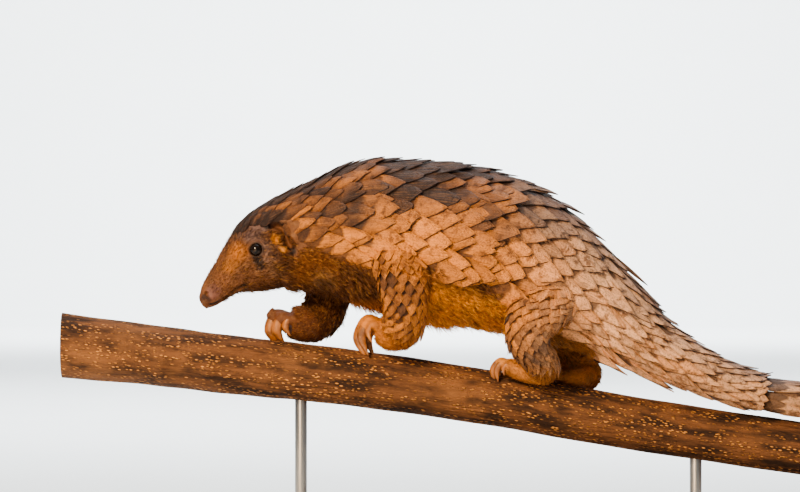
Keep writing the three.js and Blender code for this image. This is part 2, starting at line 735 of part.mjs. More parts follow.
// Legs and paws, and the pockets that their roots fill in the body
const pockets = [];
for (const { nodes, side, stations, cuts, table, curl, share = 1 } of LEGS) {
  const spine = legSpine(stations, side);
  const rows = layRows(spine, () => LEG_ROW, 0, spine.last);
  const plated = (station, angle, spare) =>
    station > spine.last * LEG_SCALED[0] - spare &&
    station < spine.last * LEG_SCALED[1] + spare &&
    -side * Math.sin(angle) > LEG_OUTER_SINE - spare;
  const height = (station, angle) => (plated(station, angle, 0) ? LEG_PLATE : 0);
  const grow = (station, angle) => (plated(station, angle, POCKET_SPARE) ? LEG_PLATE + 3 * GAP : GAP);
  const divisions = [0, ...cuts.map((cut) => rowNear(rows, spine.last * cut)), rows.length - 1];
  nodes.forEach((name, i) => {
    const [first, end] = divisions.slice(i, i + 2);
    const length = latticeSkin(spine, rows, LEG_COLUMNS, { first, end, ends: GAP / 2, height });
    const isPaw = i === nodes.length - 1;
    const whole = isPaw ? wasm.Manifold.union([length, ...claws(spine, table, curl, side, share)]) : length;
    place(name, largest(whole.subtract(clearOfBranch)), isPaw ? PAW_SKIN : SCALE_HORN);
  });
  pockets.push(latticeSkin(spine, rows, LEG_COLUMNS, { grow, ends: -GAP }));
}
const pocketed = wasm.Manifold.union(pockets);

// Head with its eyes and ears
function headPieces() {
  const adds = [];
  const cuts = [];
  for (const [name, side] of Object.entries(SIDES)) {
    const mirrored = (angle) => radians(angle) * side;
    const eye = skinAxes(bodySpine, EYE_STATION, mirrored(EYE_DEG));
    const middle = eye.here.clone().addScaledVector(eye.out, -EYE_SINK);
    const axes = [eye.lengthwise, eye.across, eye.out];
    const lid = EYE_RADIUS + LID_THICK;
    adds.push(ellipsoid(middle, [lid, lid, lid], axes, 10, 6));
    const gap = EYE_RADIUS + GAP;
    cuts.push(ellipsoid(middle, [gap, gap, gap], axes, 10, 7));
    const opening = middle.clone().addScaledVector(eye.out, EYE_RADIUS);
    cuts.push(ellipsoid(opening, LID_OPEN, axes, 8, 5));
    place(`eye_${name}`, ellipsoid(middle, [EYE_RADIUS, EYE_RADIUS, EYE_RADIUS], axes, 10, 7), EYE_DARK);

    const nostril = skinAxes(bodySpine, NOSTRIL_STATION, mirrored(NOSTRIL_DEG));
    cuts.push(ellipsoid(nostril.here, NOSTRIL_SIZE, [nostril.across, nostril.lengthwise, nostril.out], 8, 6));

    const ear = skinAxes(bodySpine, EAR_STATION, mirrored(EAR_DEG));
    const tilt = new THREE.Quaternion().setFromAxisAngle(ear.out, radians(EAR_TILT_DEG) * side);
    const tall = ear.across.clone().applyQuaternion(tilt);
    const wide = ear.lengthwise.clone().applyQuaternion(tilt);
    const frame = [tall, wide, ear.out];
    const grown = EAR_SIZE.map((size) => size + GAP);
    const cup = ear.here.clone().addScaledVector(wide, EAR_CUP_BACK).addScaledVector(ear.out, EAR_CUP_OUT);
    const hollow = ellipsoid(cup, EAR_CUP_SIZE, frame, 10, 6);
    place(`ear_${name}`, largest(ellipsoid(ear.here, EAR_SIZE, frame, 12, 7).subtract(hollow)), FACE_SKIN);
    cuts.push(ellipsoid(ear.here, grown, frame, 12, 7));

    const mouth = MOUTH_STATIONS.map((s) => skinAxes(bodySpine, s, mirrored(MOUTH_DEG)));
    for (let i = 1; i < mouth.length; i += 1) {
      const run = mouth[i].here.clone().sub(mouth[i - 1].here);
      const half = run.length() / 2 + MOUTH_OVERLAP;
      run.normalize();
      const across = new THREE.Vector3().crossVectors(run, mouth[i].out).normalize();
      const inwards = new THREE.Vector3().crossVectors(run, across);
      const centre = mouth[i].here.clone().add(mouth[i - 1].here).multiplyScalar(0.5);
      const sizes = [half * 1.25, MOUTH_GROOVE, MOUTH_GROOVE * 1.6];
      cuts.push(ellipsoid(centre, sizes, [run, across, inwards], 6, 4));
    }
  }
  const nose = bodySpine.at(NOSE_PAD_STATION);
  const noseAxes = [nose.up, nose.side, new THREE.Vector3().crossVectors(nose.up, nose.side)];
  adds.push(ellipsoid(nose.centre, NOSE_PAD_SIZE, noseAxes, 12, 8));
  return { adds, cuts };
}
const { adds, cuts } = headPieces();
const head = wasm.Manifold.union([bodyPart(0, neckRow), ...adds]);
place("head", largest(head.subtract(wasm.Manifold.union(cuts))), FACE_SKIN);
place("neck", largest(bodyPart(neckRow, torsoRow).subtract(pocketed)), SCALE_HORN);
place("torso", largest(bodyPart(torsoRow, bodyRows.length - 1).subtract(pocketed)), SCALE_HORN);

// Tail
for (let i = 1; i < tailCuts.length; i += 1) {
  const part = latticeSkin(tailSpine, tailRows, TAIL_COLUMNS, {
    first: tailCuts[i - 1],
    end: tailCuts[i],
    height: tailHeight,
    ends: GAP / 2,
  });
  const free = part.subtract(clearOfBranch).subtract(pocketed);
  place(i === tailCuts.length - 1 ? "tail_tip" : `tail_${i}`, largest(free), SCALE_HORN);
}

export default group;
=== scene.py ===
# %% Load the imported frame
import math
import bpy
import numpy as np
from mathutils import Matrix, Vector
from mathutils.bvhtree import BVHTree
from mathutils.kdtree import KDTree


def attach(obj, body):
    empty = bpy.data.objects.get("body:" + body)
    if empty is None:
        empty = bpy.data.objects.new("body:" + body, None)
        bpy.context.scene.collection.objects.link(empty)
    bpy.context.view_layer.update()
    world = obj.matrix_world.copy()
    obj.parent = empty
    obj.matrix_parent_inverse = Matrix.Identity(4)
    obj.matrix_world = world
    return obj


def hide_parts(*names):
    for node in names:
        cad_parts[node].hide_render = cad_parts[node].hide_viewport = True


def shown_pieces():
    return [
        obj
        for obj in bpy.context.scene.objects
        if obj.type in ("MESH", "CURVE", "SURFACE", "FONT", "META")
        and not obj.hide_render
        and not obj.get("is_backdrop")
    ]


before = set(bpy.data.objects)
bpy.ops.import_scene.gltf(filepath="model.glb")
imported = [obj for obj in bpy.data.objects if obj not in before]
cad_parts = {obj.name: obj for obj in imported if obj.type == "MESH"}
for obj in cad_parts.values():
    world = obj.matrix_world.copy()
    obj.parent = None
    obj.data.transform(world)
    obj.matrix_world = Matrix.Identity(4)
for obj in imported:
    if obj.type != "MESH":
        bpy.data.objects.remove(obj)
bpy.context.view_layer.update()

MM = 0.001
rng = np.random.default_rng(7)
print("frame loaded:", len(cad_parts), "solids")

# %% [markdown]
# The whole animal hangs on a few spines: one from nose to tail root, one down the tail and one
# down each leg. A spine is a row of sections, each with a centre, an up and a side direction and
# its half sizes. Skin, scales and hair are all placed by station number and by the angle from
# the middle of the back, so that they keep to one shape. The same sections made the solids.

# %% Spines
def along(table, x):
    """A value read from a table of (x, value), straight between its rows."""
    xs, ys = zip(*table)
    return np.interp(x, xs, ys)


def smooth(x, low, high):
    """0 below low, 1 above high, and an S curve between."""
    t = np.clip((np.asarray(x, float) - low) / (high - low), 0, 1)
    return t * t * (3 - 2 * t)


def through(points, stations):
    """A smooth curve through points, read at station numbers between them."""
    p = np.asarray(points, float)
    p = np.vstack([2 * p[0] - p[1], p, 2 * p[-1] - p[-2]])
    i = np.clip(np.floor(stations).astype(int), 0, len(points) - 2)
    w = (stations - i)[:, None]
    p0, p1, p2, p3 = (p[i + k] for k in range(4))
    pairs = ((p0, p1), (p1, p2), (p2, p3))
    d0, d1, d2 = (np.maximum(np.sum((b - a) ** 2, 1) ** 0.25, 1e-4)[:, None] for a, b in pairs)
    t1 = ((p1 - p0) / d0 - (p2 - p0) / (d0 + d1) + (p2 - p1) / d1) * d1
    t2 = ((p2 - p1) / d1 - (p3 - p1) / (d1 + d2) + (p3 - p2) / d2) * d1
    return p1 + w * (t1 + w * (3 * (p2 - p1) - 2 * t1 - t2 + w * (2 * (p1 - p2) + t1 + t2)))


def unit(v):
    return v / np.maximum(np.linalg.norm(v, axis=-1, keepdims=True), 1e-9)


NARROW_ABOVE = 0.08  # a section's shoulders are narrower than an ellipse's, and its lower half is wider


class Spine:
    """Sections in millimetres: centre, up, side, rise, drop and half, one row each."""

    def __init__(self, centre, up, side, rise, drop, half):
        self.last = len(centre) - 1
        self.stations = np.linspace(0, self.last, self.last * 50 + 1)
        sizes = np.column_stack([rise, drop, half])
        parts = [through(part, self.stations) for part in (centre, up, side, sizes)]
        self.table = np.hstack([parts[0], unit(parts[1]), unit(parts[2]), parts[3]])

    def at(self, station):
        s = np.asarray(station, float)
        rows = [np.interp(s, self.stations, column) for column in self.table.T]
        stack = lambda a, b: np.stack(rows[a:b], -1)
        return stack(0, 3), stack(3, 6), stack(6, 9), rows[9], rows[10], rows[11]

    def skin(self, station, angle, lift=0.0):
        centre, up, side, rise, drop, half = self.at(station)
        cos, sin = np.cos(angle), np.sin(angle)
        tall = np.where(cos > 0, rise, drop) + lift
        wide = (half + lift) * (1 - NARROW_ABOVE * cos * np.abs(sin))
        return centre + up * (tall * cos)[..., None] + side * (wide * sin)[..., None]

    def pace(self, station, angle):
        """Millimetres of skin to one station, at an angle."""
        step = 0.05
        a = self.skin(np.clip(station - step, 0, self.last), angle)
        b = self.skin(np.clip(station + step, 0, self.last), angle)
        return np.maximum(np.linalg.norm(b - a, axis=-1) / (2 * step), 0.5)

    def rows(self, spacing, start, end):
        """Stations a given spacing apart along the line of the back."""
        fine = np.linspace(start, end, 4000)
        back = self.skin(fine, np.zeros_like(fine))
        steps = np.linalg.norm(np.diff(back, axis=0), axis=1) / spacing(fine[1:])
        walked = np.concatenate([[0], np.cumsum(steps)])
        return np.interp(np.arange(int(walked[-1]) + 1), walked, fine)


LEFT = np.array([0.0, -1.0, 0.0])
print("spine tools ready")

# %% Body sections, nose to tail root: back line, belly line and half width
BODY = [
    [(-244.5, 191), (-238.5, 181.5), 3.4], [(-243, 197.8), (-230.3, 184.3), 6.6],
    [(-239.3, 204.5), (-222, 190.3), 8.6], [(-233.3, 214.3), (-215.3, 193.3), 10.8],
    [(-225.8, 228.5), (-206.3, 194), 13.6], [(-216.8, 244.3), (-192.8, 194), 17.4],
    [(-206.3, 254.8), (-179.3, 196.3), 20.4], [(-194.3, 262.3), (-168, 197), 22.6],
    [(-177.8, 270.5), (-153.8, 194.8), 25], [(-159, 278.8), (-136.5, 191), 29.5],
    [(-138.8, 288.3), (-117.8, 184.3), 36], [(-114, 294.8), (-95.3, 177.5), 44],
    [(-87.8, 293.8), (-74.3, 172.3), 50], [(-57.8, 292), (-51.8, 167.8), 53.5],
    [(-27.8, 286.8), (-29.3, 164), 55], [(1.5, 277), (-9.8, 161), 53.5],
    [(27, 261.5), (7.5, 157.3), 49.5], [(50, 241), (24.8, 152.8), 43],
    [(69.5, 218), (47.3, 147.5), 36],
]
BODY_PLATE = [(0, 0), (4.4, 0), (5.2, 1.2), (7, 1.6), (9, 2.3), (11, 3.1), (18, 3.1)]
SCALED_DEG = [
    (0, -1), (4.8, -1), (5.1, 25), (5.6, 48), (6.2, 62), (7, 78), (8, 101), (9, 112), (10, 120),
    (11, 119), (12, 112), (13, 114), (14, 122), (15, 127), (16, 131), (17, 142), (18, 156),
]
COAT_DEPTH = 1.1

top = np.array([[b[0][0], 0, b[0][1]] for b in BODY], float)
bottom = np.array([[b[1][0], 0, b[1][1]] for b in BODY], float)
plate = along(BODY_PLATE, np.arange(len(BODY)))
tall = np.linalg.norm(top - bottom, axis=1) / 2 - plate
width = np.array([b[2] for b in BODY]) - plate
body_parts = ((top + bottom) / 2, unit(top - bottom), np.tile(LEFT, (len(BODY), 1)), tall, tall, width)
body = Spine(*body_parts)
print("body spine:", body.last, "sections")

# %% [markdown]
# The branch is one gently sloping limb, and feet and tail are placed on it. The tail leaves the
# body free, comes down on the branch and winds round it. Its route is walked a millimetre at a
# time, each step partly along the branch and partly round it, until the tail's length is used.

# %% Branch and tail sections
BRANCH = [
    (-347, 154, 25), (-288, 147.5, 23.5), (-242, 142, 23), (-194, 137, 22.5), (-155, 132.5, 22),
    (-95, 125, 21.8), (-20, 113.5, 21.4), (62, 99, 21), (145, 85.5, 20.6), (227, 74, 20.6),
    (300, 66, 20.3), (347, 62, 20),
]
limb = np.array(BRANCH, float)
branch = Spine(
    np.column_stack([limb[:, 0], 0 * limb[:, 0], limb[:, 1]]),
    np.tile([0.0, 0, 1], (len(limb), 1)), np.tile(LEFT, (len(limb), 1)), *[limb[:, 2]] * 3,
)


def branch_at(x):
    """The branch's centre, radius and direction at x."""
    station = np.interp(x, branch.table[:, 0], branch.stations)
    centre, _, _, radius, _, _ = branch.at(station)
    run = unit(branch.at(station + 0.02)[0] - branch.at(station - 0.02)[0])
    return centre, float(radius), run


TAIL_FREE = [(82, 163, 27, 32.5), (109, 145.8, 21, 29), (139, 130.5, 17.2, 26)]
TAIL_LENGTH = 500
TAIL_LAID_X, TAIL_WIND_X, TAIL_WIND_RAMP, TAIL_WIND_DEG = 168, 196, 75, 73
TAIL_THICK = [(0, 34.9), (120, 15.6), (250, 10.5), (400, 6.8), (500, 2.6)]
TAIL_HALF = [(0, 36), (120, 24.5), (250, 18.5), (400, 12.5), (485, 7), (500, 4)]
TAIL_PLATE = [(0, 3), (60, 2.6), (250, 1.9), (500, 0.9)]
TAIL_PLATE_BELOW = 0.4
TAIL_STEP, TAIL_TO_BRANCH = 14, 1.3


def tail_sections():
    """Rows of centre, up, side, thickness and half width, and how far along the tail each lies."""
    across = top[-1] - bottom[-1]
    rows = [((top[-1] + bottom[-1]) / 2, unit(across), LEFT, np.linalg.norm(across) / 2, BODY[-1][2])]
    for i, (x, z, thick, half) in enumerate(TAIL_FREE):
        after = TAIL_FREE[min(len(TAIL_FREE) - 1, i + 1)]
        run = unit(np.array([after[0] - rows[i][0][0], 0, after[1] - rows[i][0][2]]))
        rows.append((np.array([x, 0, z], float), np.array([-run[2], 0, run[0]]), LEFT, thick, half))
    length = [0.0]
    for a, b in zip(rows, rows[1:]):
        length.append(length[-1] + np.linalg.norm(b[0] - a[0]))
    x, turn = float(TAIL_LAID_X), 0.0
    centre, radius, _ = branch_at(x)
    landing = np.array([x, 0, centre[2] + radius + along(TAIL_THICK, length[-1] + 30)])
    walked = length[-1] + np.linalg.norm(landing - rows[-1][0])
    following = walked
    while walked <= TAIL_LENGTH + 0.5:
        centre, radius, run = branch_at(x)
        thick = float(along(TAIL_THICK, walked))
        lean = math.radians(TAIL_WIND_DEG) * float(smooth(x, TAIL_WIND_X, TAIL_WIND_X + TAIL_WIND_RAMP * 0.6))
        arm = radius + TAIL_TO_BRANCH + thick
        if walked >= following - 1e-6 or walked + 1 > TAIL_LENGTH + 0.5:
            upright, right = np.array([-run[2], 0, run[0]]), np.array([0.0, 1, 0])
            up = upright * math.cos(turn) + right * math.sin(turn)
            around = right * math.cos(turn) - upright * math.sin(turn)
            ahead = run * math.cos(lean) + around * math.sin(lean)
            rows.append((centre + up * arm, up, -np.cross(up, ahead), thick, float(along(TAIL_HALF, walked))))
            length.append(walked)
            following += TAIL_STEP
        x += math.cos(lean) * run[0]
        turn += math.sin(lean) / arm
        walked += 1
    return rows, np.array(length)


tail_rows, tail_length = tail_sections()
tail_plate = along(TAIL_PLATE, tail_length)
centres, ups, sides, thick, halves = (np.array(column) for column in zip(*tail_rows))
below = thick - tail_plate * TAIL_PLATE_BELOW
tail_parts = (centres, ups, sides, thick - tail_plate, below, halves - tail_plate)
tail = Spine(*tail_parts)
print("tail spine:", tail.last, "sections")

# %% [markdown]
# A leg is a few sections from shoulder or hip to the end of the paw, in the places of a slow walk.
# The right hind leg is the left one moved back, its foot more than its hip, and lowered by as
# much as the branch falls there.

# %% Leg sections
FORELEG_LEFT = [
    (-93, 24, 229, 24, 15), (-92, 36, 212, 20.5, 15), (-90.5, 41, 198, 17.5, 13.5),
    (-89.5, 37.5, 186, 15, 12.5), (-90, 30, 175, 14.5, 12.5), (-94, 22, 166, 14.5, 12.5),
    (-100, 15, 164.5, 14.5, 12.5), (-106.6, 11.4, 166.4, 12.4, 12.4),
]
FORELEG_RIGHT = [
    (-127.5, 20, 225.5, 22, 13), (-138, 27.5, 211, 19, 13.5), (-145.5, 29, 198.5, 17, 12.5),
    (-149, 27, 188, 15, 12), (-152.5, 21, 177.5, 14.5, 12), (-159.5, 15, 171, 14.5, 12.5),
    (-167.5, 11, 170, 14, 12.5), (-175.5, 9, 171.5, 12, 12),
]
HINDLEG_LEFT = [
    (28, 22, 202, 25, 14), (14, 37, 186, 22, 14), (3, 45, 170, 18, 13), (2, 43, 155.5, 14, 12),
    (10, 35, 144, 11, 11), (14, 26, 136, 9.5, 10.6), (2, 17, 134, 8, 11.2), (-13, 13.5, 138.5, 6.6, 10.6),
]
# The right hind leg stands further back: its foot by the whole shift, its hip not at all
HINDLEG_SHIFT, HIP_Z, FOOT_Z = 34, 202, 136
HINDLEG_RIGHT = []
for x, y, z, deep, wide in HINDLEG_LEFT:
    drop = branch_at(x)[0][2] - branch_at(x + HINDLEG_SHIFT)[0][2]
    reach = float(smooth(-z, -HIP_Z, -FOOT_Z))
    HINDLEG_RIGHT.append((x + HINDLEG_SHIFT * reach, y, z - drop * reach, deep, wide))


def leg_spine(sections, side):
    """A leg from sections of x, distance from the middle, z, half depth and half width."""
    x, y, z, deep, wide = (np.array(column, float) for column in zip(*sections))
    points = np.column_stack([x, -side * y, z])
    last = len(sections) - 1
    at = np.arange(last + 1.0)
    run = unit(through(points, np.minimum(at + 0.01, last)) - through(points, np.maximum(at - 0.01, 0)))
    up = unit(np.cross(LEFT * side, run)) * -side
    return Spine(points, up, unit(np.cross(run, up)), deep, deep, wide)


LEGS = {
    name: (leg_spine(sections, side), side) for name, sections, side in (
        ("foreleg_left", FORELEG_LEFT, 1), ("foreleg_right", FORELEG_RIGHT, -1),
        ("hindleg_left", HINDLEG_LEFT, 1), ("hindleg_right", HINDLEG_RIGHT, -1),
    )
}
print("leg spines:", ", ".join(LEGS))

# %% [markdown]
# The skin starts as tubes wrapped on the spines, as a taxidermist's form starts as a stuffed
# body, tail and limbs. Each tube is a grid, bent round, closed along its seam and at its ends.
# A voxel remesh then melts all the tubes into one sheet with no seam at the shoulders or the
# tail root, which a join alone would leave.

# %% Objects and their points
SAME_POINT = 1e-5  # metres


def deselect():
    for o in bpy.context.selected_objects:
        o.select_set(False)


def only(o):
    deselect()
    o.select_set(True)
    bpy.context.view_layer.objects.active = o


def made(name, operator, **settings):
    """The object that an operator adds, named."""
    deselect()
    operator(**settings)
    o = bpy.context.active_object
    o.name = name
    return o


def points_of(o):
    co = np.empty(len(o.data.vertices) * 3)
    o.data.vertices.foreach_get("co", co)
    return co.reshape(-1, 3)


def move_points(o, co):
    o.data.vertices.foreach_set("co", np.asarray(co, float).ravel())
    o.data.transform(Matrix())
    o.data.update()


def apply(o, kind, **settings):
    only(o)
    m = o.modifiers.new(kind.title(), kind)
    for key, value in settings.items():
        setattr(m, key, value)
    bpy.ops.object.modifier_apply(modifier=m.name)


def turn_outward(o, close=False):
    """Turns all faces outward, after closing the open ends where asked."""
    only(o)
    bpy.ops.object.mode_set(mode="EDIT")
    bpy.ops.mesh.select_all(action="SELECT")
    if close:
        bpy.ops.mesh.remove_doubles(threshold=SAME_POINT)
        bpy.ops.mesh.select_all(action="DESELECT")
        bpy.ops.mesh.select_non_manifold()
        bpy.ops.mesh.edge_face_add()
        bpy.ops.mesh.select_all(action="SELECT")
    bpy.ops.mesh.normals_make_consistent(inside=False)
    bpy.ops.object.mode_set(mode="OBJECT")


def join(name, parts):
    """One object made of several."""
    only(parts[0])
    for o in parts:
        o.select_set(True)
    bpy.ops.object.join()
    bpy.context.active_object.name = name
    return bpy.context.active_object


def tree_of(o):
    """A search tree of an object's faces: the nearest place on it, or where a line meets it."""
    faces = [tuple(p.vertices) for p in o.data.polygons]
    return BVHTree.FromPolygons([tuple(p) for p in points_of(o)], faces)


# %% Tubes
def tube(name, spine, start, end, rows, around, lift=lambda s, a: 0.0):
    """A grid wrapped round a spine from one station to another and closed."""
    o = made(name, bpy.ops.mesh.primitive_grid_add, x_subdivisions=rows, y_subdivisions=around, size=2)
    co = points_of(o)
    station = start + (co[:, 0] + 1) / 2 * (end - start)
    angle = (co[:, 1] + 1) * math.pi
    move_points(o, spine.skin(station, angle, lift(station, angle)) * MM)
    turn_outward(o, close=True)
    return o


TAIL_COAT_DEPTH, LEG_COAT_DEPTH = 0.6, 0.5
tubes = [tube("body_form", body, 0, body.last, 150, 56, lambda s, a: -COAT_DEPTH * smooth(s, 0.4, 3))]
tubes.append(tube("tail_form", tail, 0, tail.last, 220, 32, lambda s, a: -TAIL_COAT_DEPTH))
for name, (spine, side) in LEGS.items():
    tubes.append(tube(name + "_form", spine, 0, spine.last, 40, 28, lambda s, a: -LEG_COAT_DEPTH))
print("tubes:", len(tubes))

# %% [markdown]
# Paws. Each digit is a short tube that leaves the front of the paw, bends over at its knuckle
# and holds one claw. The claws are horn and stay separate pieces: long and thick on the middle
# digits of the forepaws, which dig and grip, shorter on the hind feet.

# %% Digits and claws
# Each claw's length, half width and place across the paw from -1 to 1
FORE_CLAWS = [(13, 1.9, -0.86), (23, 3.1, -0.5), (27, 3.8, -0.02), (23, 3.2, 0.47), (14, 2.1, 0.86)]
HIND_CLAWS = [(8, 1.5, -0.8), (14, 2.1, -0.42), (16, 2.4, 0.0), (14, 2.1, 0.42), (9, 1.6, 0.8)]
FORE_CLAW_RIGHT = 0.82
# How far each claw's bend and tip lie ahead of its knuckle, and its bend below it
CURL = {"fore": (0.14, 0.5, -0.28), "hind": (0.22, 0.45, -0.02)}


def claw_spine(spine, side, curl, length, spread, sizes):
    """A digit and its claw: root, knuckle, bend and tip."""
    end_of_paw, paw_up = spine.at(spine.last)[:2]
    before, _, _, _, _, half = spine.at(spine.last - 0.4)
    ahead = unit(end_of_paw - before)
    across = unit(np.cross(ahead, paw_up))
    down = paw_up * (-1 if paw_up[2] > 0 else 1)
    root = before + across * spread * half * 0.92 * side - ahead * abs(spread) * 5
    knuckle = root + ahead * (8 + length * 0.3) - down
    bend = knuckle + ahead * length * curl[0] + down * length * curl[1]
    end = knuckle + ahead * length * curl[2] + down * length
    points = np.array([root, knuckle, bend, end])
    run = unit(np.gradient(points, axis=0))
    up = unit(np.cross(run, across))
    return Spine(points, up, np.tile(across, (4, 1)), sizes, sizes, np.array(sizes) * 0.86)


# Half sizes at root, knuckle, bend and tip, as shares of a claw's half width; a claw's tip is in mm
DIGIT_SIZES, CLAW_SIZES, CLAW_TIP = (1.6, 1.75, 1.2, 1.0), (1.3, 1.5, 1.25), 0.4
claws = {leg: [] for leg in LEGS}
for leg, (spine, side) in LEGS.items():
    share = FORE_CLAW_RIGHT if leg == "foreleg_right" else 1.0
    for n, (full, half, spread) in enumerate(FORE_CLAWS if leg.startswith("fore") else HIND_CLAWS):
        shape = (spine, side, CURL[leg[:4]], full * share, spread)
        digit = claw_spine(*shape, [half * k for k in DIGIT_SIZES])
        tubes.append(tube(f"{leg}_digit_{n}", digit, 0, 1.5, 12, 14))
        claw = claw_spine(*shape, [half * k for k in CLAW_SIZES] + [CLAW_TIP])
        claws[leg].append(tube(f"{leg}_claw_{n}", claw, 1.0, 3, 20, 16))
print("claws:", sum(map(len, claws.values())))

# %% One skin
SKIN_VOXEL = 0.00115
skin = join("skin", tubes)
apply(skin, "REMESH", mode="VOXEL", voxel_size=SKIN_VOXEL)
apply(skin, "SMOOTH", factor=0.6, iterations=5)
print("skin after remesh:", len(skin.data.polygons), "faces")

# %% [markdown]
# The head is then modelled on the skin itself. Every point is first told where it lies: its
# station on the nearest spine and its angle from the middle of the back. The face is divided
# finer, and eye openings, lids, nostrils, mouth and ears are pressed in or raised along lines
# drawn on the side that shows. The other side is its mirror.

# %% Where each point of the skin lies
SPINES = [body, tail] + [LEGS[leg][0] for leg in LEGS]
NUDGE = 0.02  # stations or radians, for slopes


def locate(points):
    """Spine number, station, angle and height over its skin, for points in millimetres."""
    marks, keys = [], []
    for n, spine in enumerate(SPINES):
        grid = np.arange(0, spine.last + 0.01, 0.1), np.radians(np.arange(-180, 180, 9))
        s, a = np.meshgrid(*grid, indexing="ij")
        marks.append(spine.skin(s.ravel(), a.ravel()))
        keys.append(np.column_stack([np.full(s.size, n), s.ravel(), a.ravel()]))
    marks, keys = np.vstack(marks), np.vstack(keys)
    tree = KDTree(len(marks))
    for i, p in enumerate(marks):
        tree.insert(p, i)
    tree.balance()
    found = keys[[tree.find(p)[1] for p in points]]
    which, station, angle = found[:, 0].astype(int), found[:, 1].copy(), found[:, 2].copy()
    height = np.zeros(len(points))
    for n, spine in enumerate(SPINES):
        here = which == n
        if not here.any():
            continue
        s, a, p = station[here], angle[here], points[here]
        for _ in range(2):
            off = p - spine.skin(s, a)
            ahead, behind = np.minimum(s + NUDGE, spine.last), np.maximum(s - NUDGE, 0)
            ds = (spine.skin(ahead, a) - spine.skin(behind, a)) / (2 * NUDGE)
            da = (spine.skin(s, a + NUDGE) - spine.skin(s, a - NUDGE)) / (2 * NUDGE)
            s = np.clip(s + np.sum(off * ds, 1) / np.maximum(np.sum(ds * ds, 1), 0.5), 0, spine.last)
            a = a + np.clip(np.sum(off * da, 1) / np.maximum(np.sum(da * da, 1), 0.5), -0.3, 0.3)
        q = spine.skin(s, a)
        centre = spine.at(s)[0]
        station[here], angle[here] = s, (a + math.pi) % (2 * math.pi) - math.pi
        height[here] = np.linalg.norm(p - centre, axis=1) - np.linalg.norm(q - centre, axis=1)
    return which, station, angle, height


# %% Finer face, and fewer faces under the scales
which, station, angle, _ = locate(points_of(skin) / MM)
FACE_END, SCALE_MARGIN_DEG, KEPT_UNDER_SCALES = 7.4, 12, 0.4
on_body = which == 0
covered = np.abs(np.degrees(angle)) < along(SCALED_DEG, station) - SCALE_MARGIN_DEG
spare = (which == 1) | (on_body & covered & (station >= FACE_END))
group = skin.vertex_groups.new(name="under_scales")
group.add([int(i) for i in np.nonzero(spare)[0]], 1.0, "REPLACE")
apply(skin, "DECIMATE", ratio=KEPT_UNDER_SCALES, vertex_group="under_scales", vertex_group_factor=1.0)
which, station, _, _ = locate(points_of(skin) / MM)
face = (which == 0) & (station < FACE_END - 0.3)
only(skin)
bpy.ops.object.mode_set(mode="EDIT")
bpy.ops.mesh.select_all(action="DESELECT")
bpy.ops.object.mode_set(mode="OBJECT")
skin.data.vertices.foreach_set("select", face)
bpy.ops.object.mode_set(mode="EDIT")
bpy.ops.mesh.select_mode(type="VERT")
bpy.ops.mesh.subdivide(number_cuts=1, smoothness=0.6)
bpy.ops.mesh.select_all(action="SELECT")
bpy.ops.mesh.quads_convert_to_tris()
bpy.ops.object.mode_set(mode="OBJECT")
which, station, _, height = locate(points_of(skin) / MM)
print("skin with fine face:", len(skin.data.polygons), "faces")

# %% Head brought back to its measured outline, which the melting and smoothing shrank
co = points_of(skin) / MM
HEAD_FREE = (7.6, 9.0)
wanted = -0.2 - 0.9 * smooth(station, 2.5, 6)
hold = np.where(which == 0, 1 - smooth(station, *HEAD_FREE), 0)
away = unit(co - body.at(np.where(which == 0, station, 0))[0])
co = co + away * (hold * np.clip(wanted - height, -2, 6))[:, None]
move_points(skin, co * MM)
apply(skin, "SMOOTH", factor=0.3, iterations=2)
plain_tree = tree_of(skin)
FROM_LEFT, TO_RIGHT = -150, Vector((0, 1, 0))


def on_face(x, z):
    """The point of the left side that shows at x and z, in millimetres, and the way out of it."""
    point, normal, _, _ = plain_tree.ray_cast(Vector((x, FROM_LEFT, z)) * MM, TO_RIGHT)
    return np.array(point) / MM, np.array(normal)


def mirrored(point, side):
    return np.array(point) * np.array([1, side, 1])


# %% Face features
EYE_RADIUS, EYE_STATION, EYE_DEG, EYE_SINK = 5.2, 5.42, 82, 2.6
EYE_OPEN = (4.9, 4.7)
NOSTRIL, NOSE_AIM = (-238.6, 192.6), np.array([-0.85, 0, 0.35])
# Lines of the left side, as x and z
MOUTH = [
    (-235.5, 185.3), (-229.5, 187.2), (-224.6, 190.2), (-219.6, 194.2), (-215, 197.4), (-209.8, 199.6),
]
EAR_SHADE = [(-192.5, 243.5), (-185.8, 244.3), (-180.8, 240.5), (-179.2, 233.9), (-174.2, 224.7)]
EAR_RIM = [(-187, 247.5), (-181, 245.6), (-175.8, 240.7), (-172.5, 235.5), (-168.5, 229.5)]
EAR_LOBE = [(-188.8, 238.9), (-185.4, 230.5), (-181.7, 225.5), (-175.8, 221.4)]


def axes_on(spine, s, a):
    """A point of the skin and the directions tailward, up round the skin and out of it."""
    s, a = np.array([s]), np.array([a])
    here = spine.skin(s, a)[0]
    back = unit(spine.skin(s + 0.05, a)[0] - here)
    turn = unit(spine.skin(s, a - 0.02 * np.sign(a))[0] - here)
    out = unit(np.cross(back, turn))
    if out @ (here - spine.at(s)[0][0]) < 0:
        out = -out
    return here, back, unit(turn - back * (turn @ back)), out


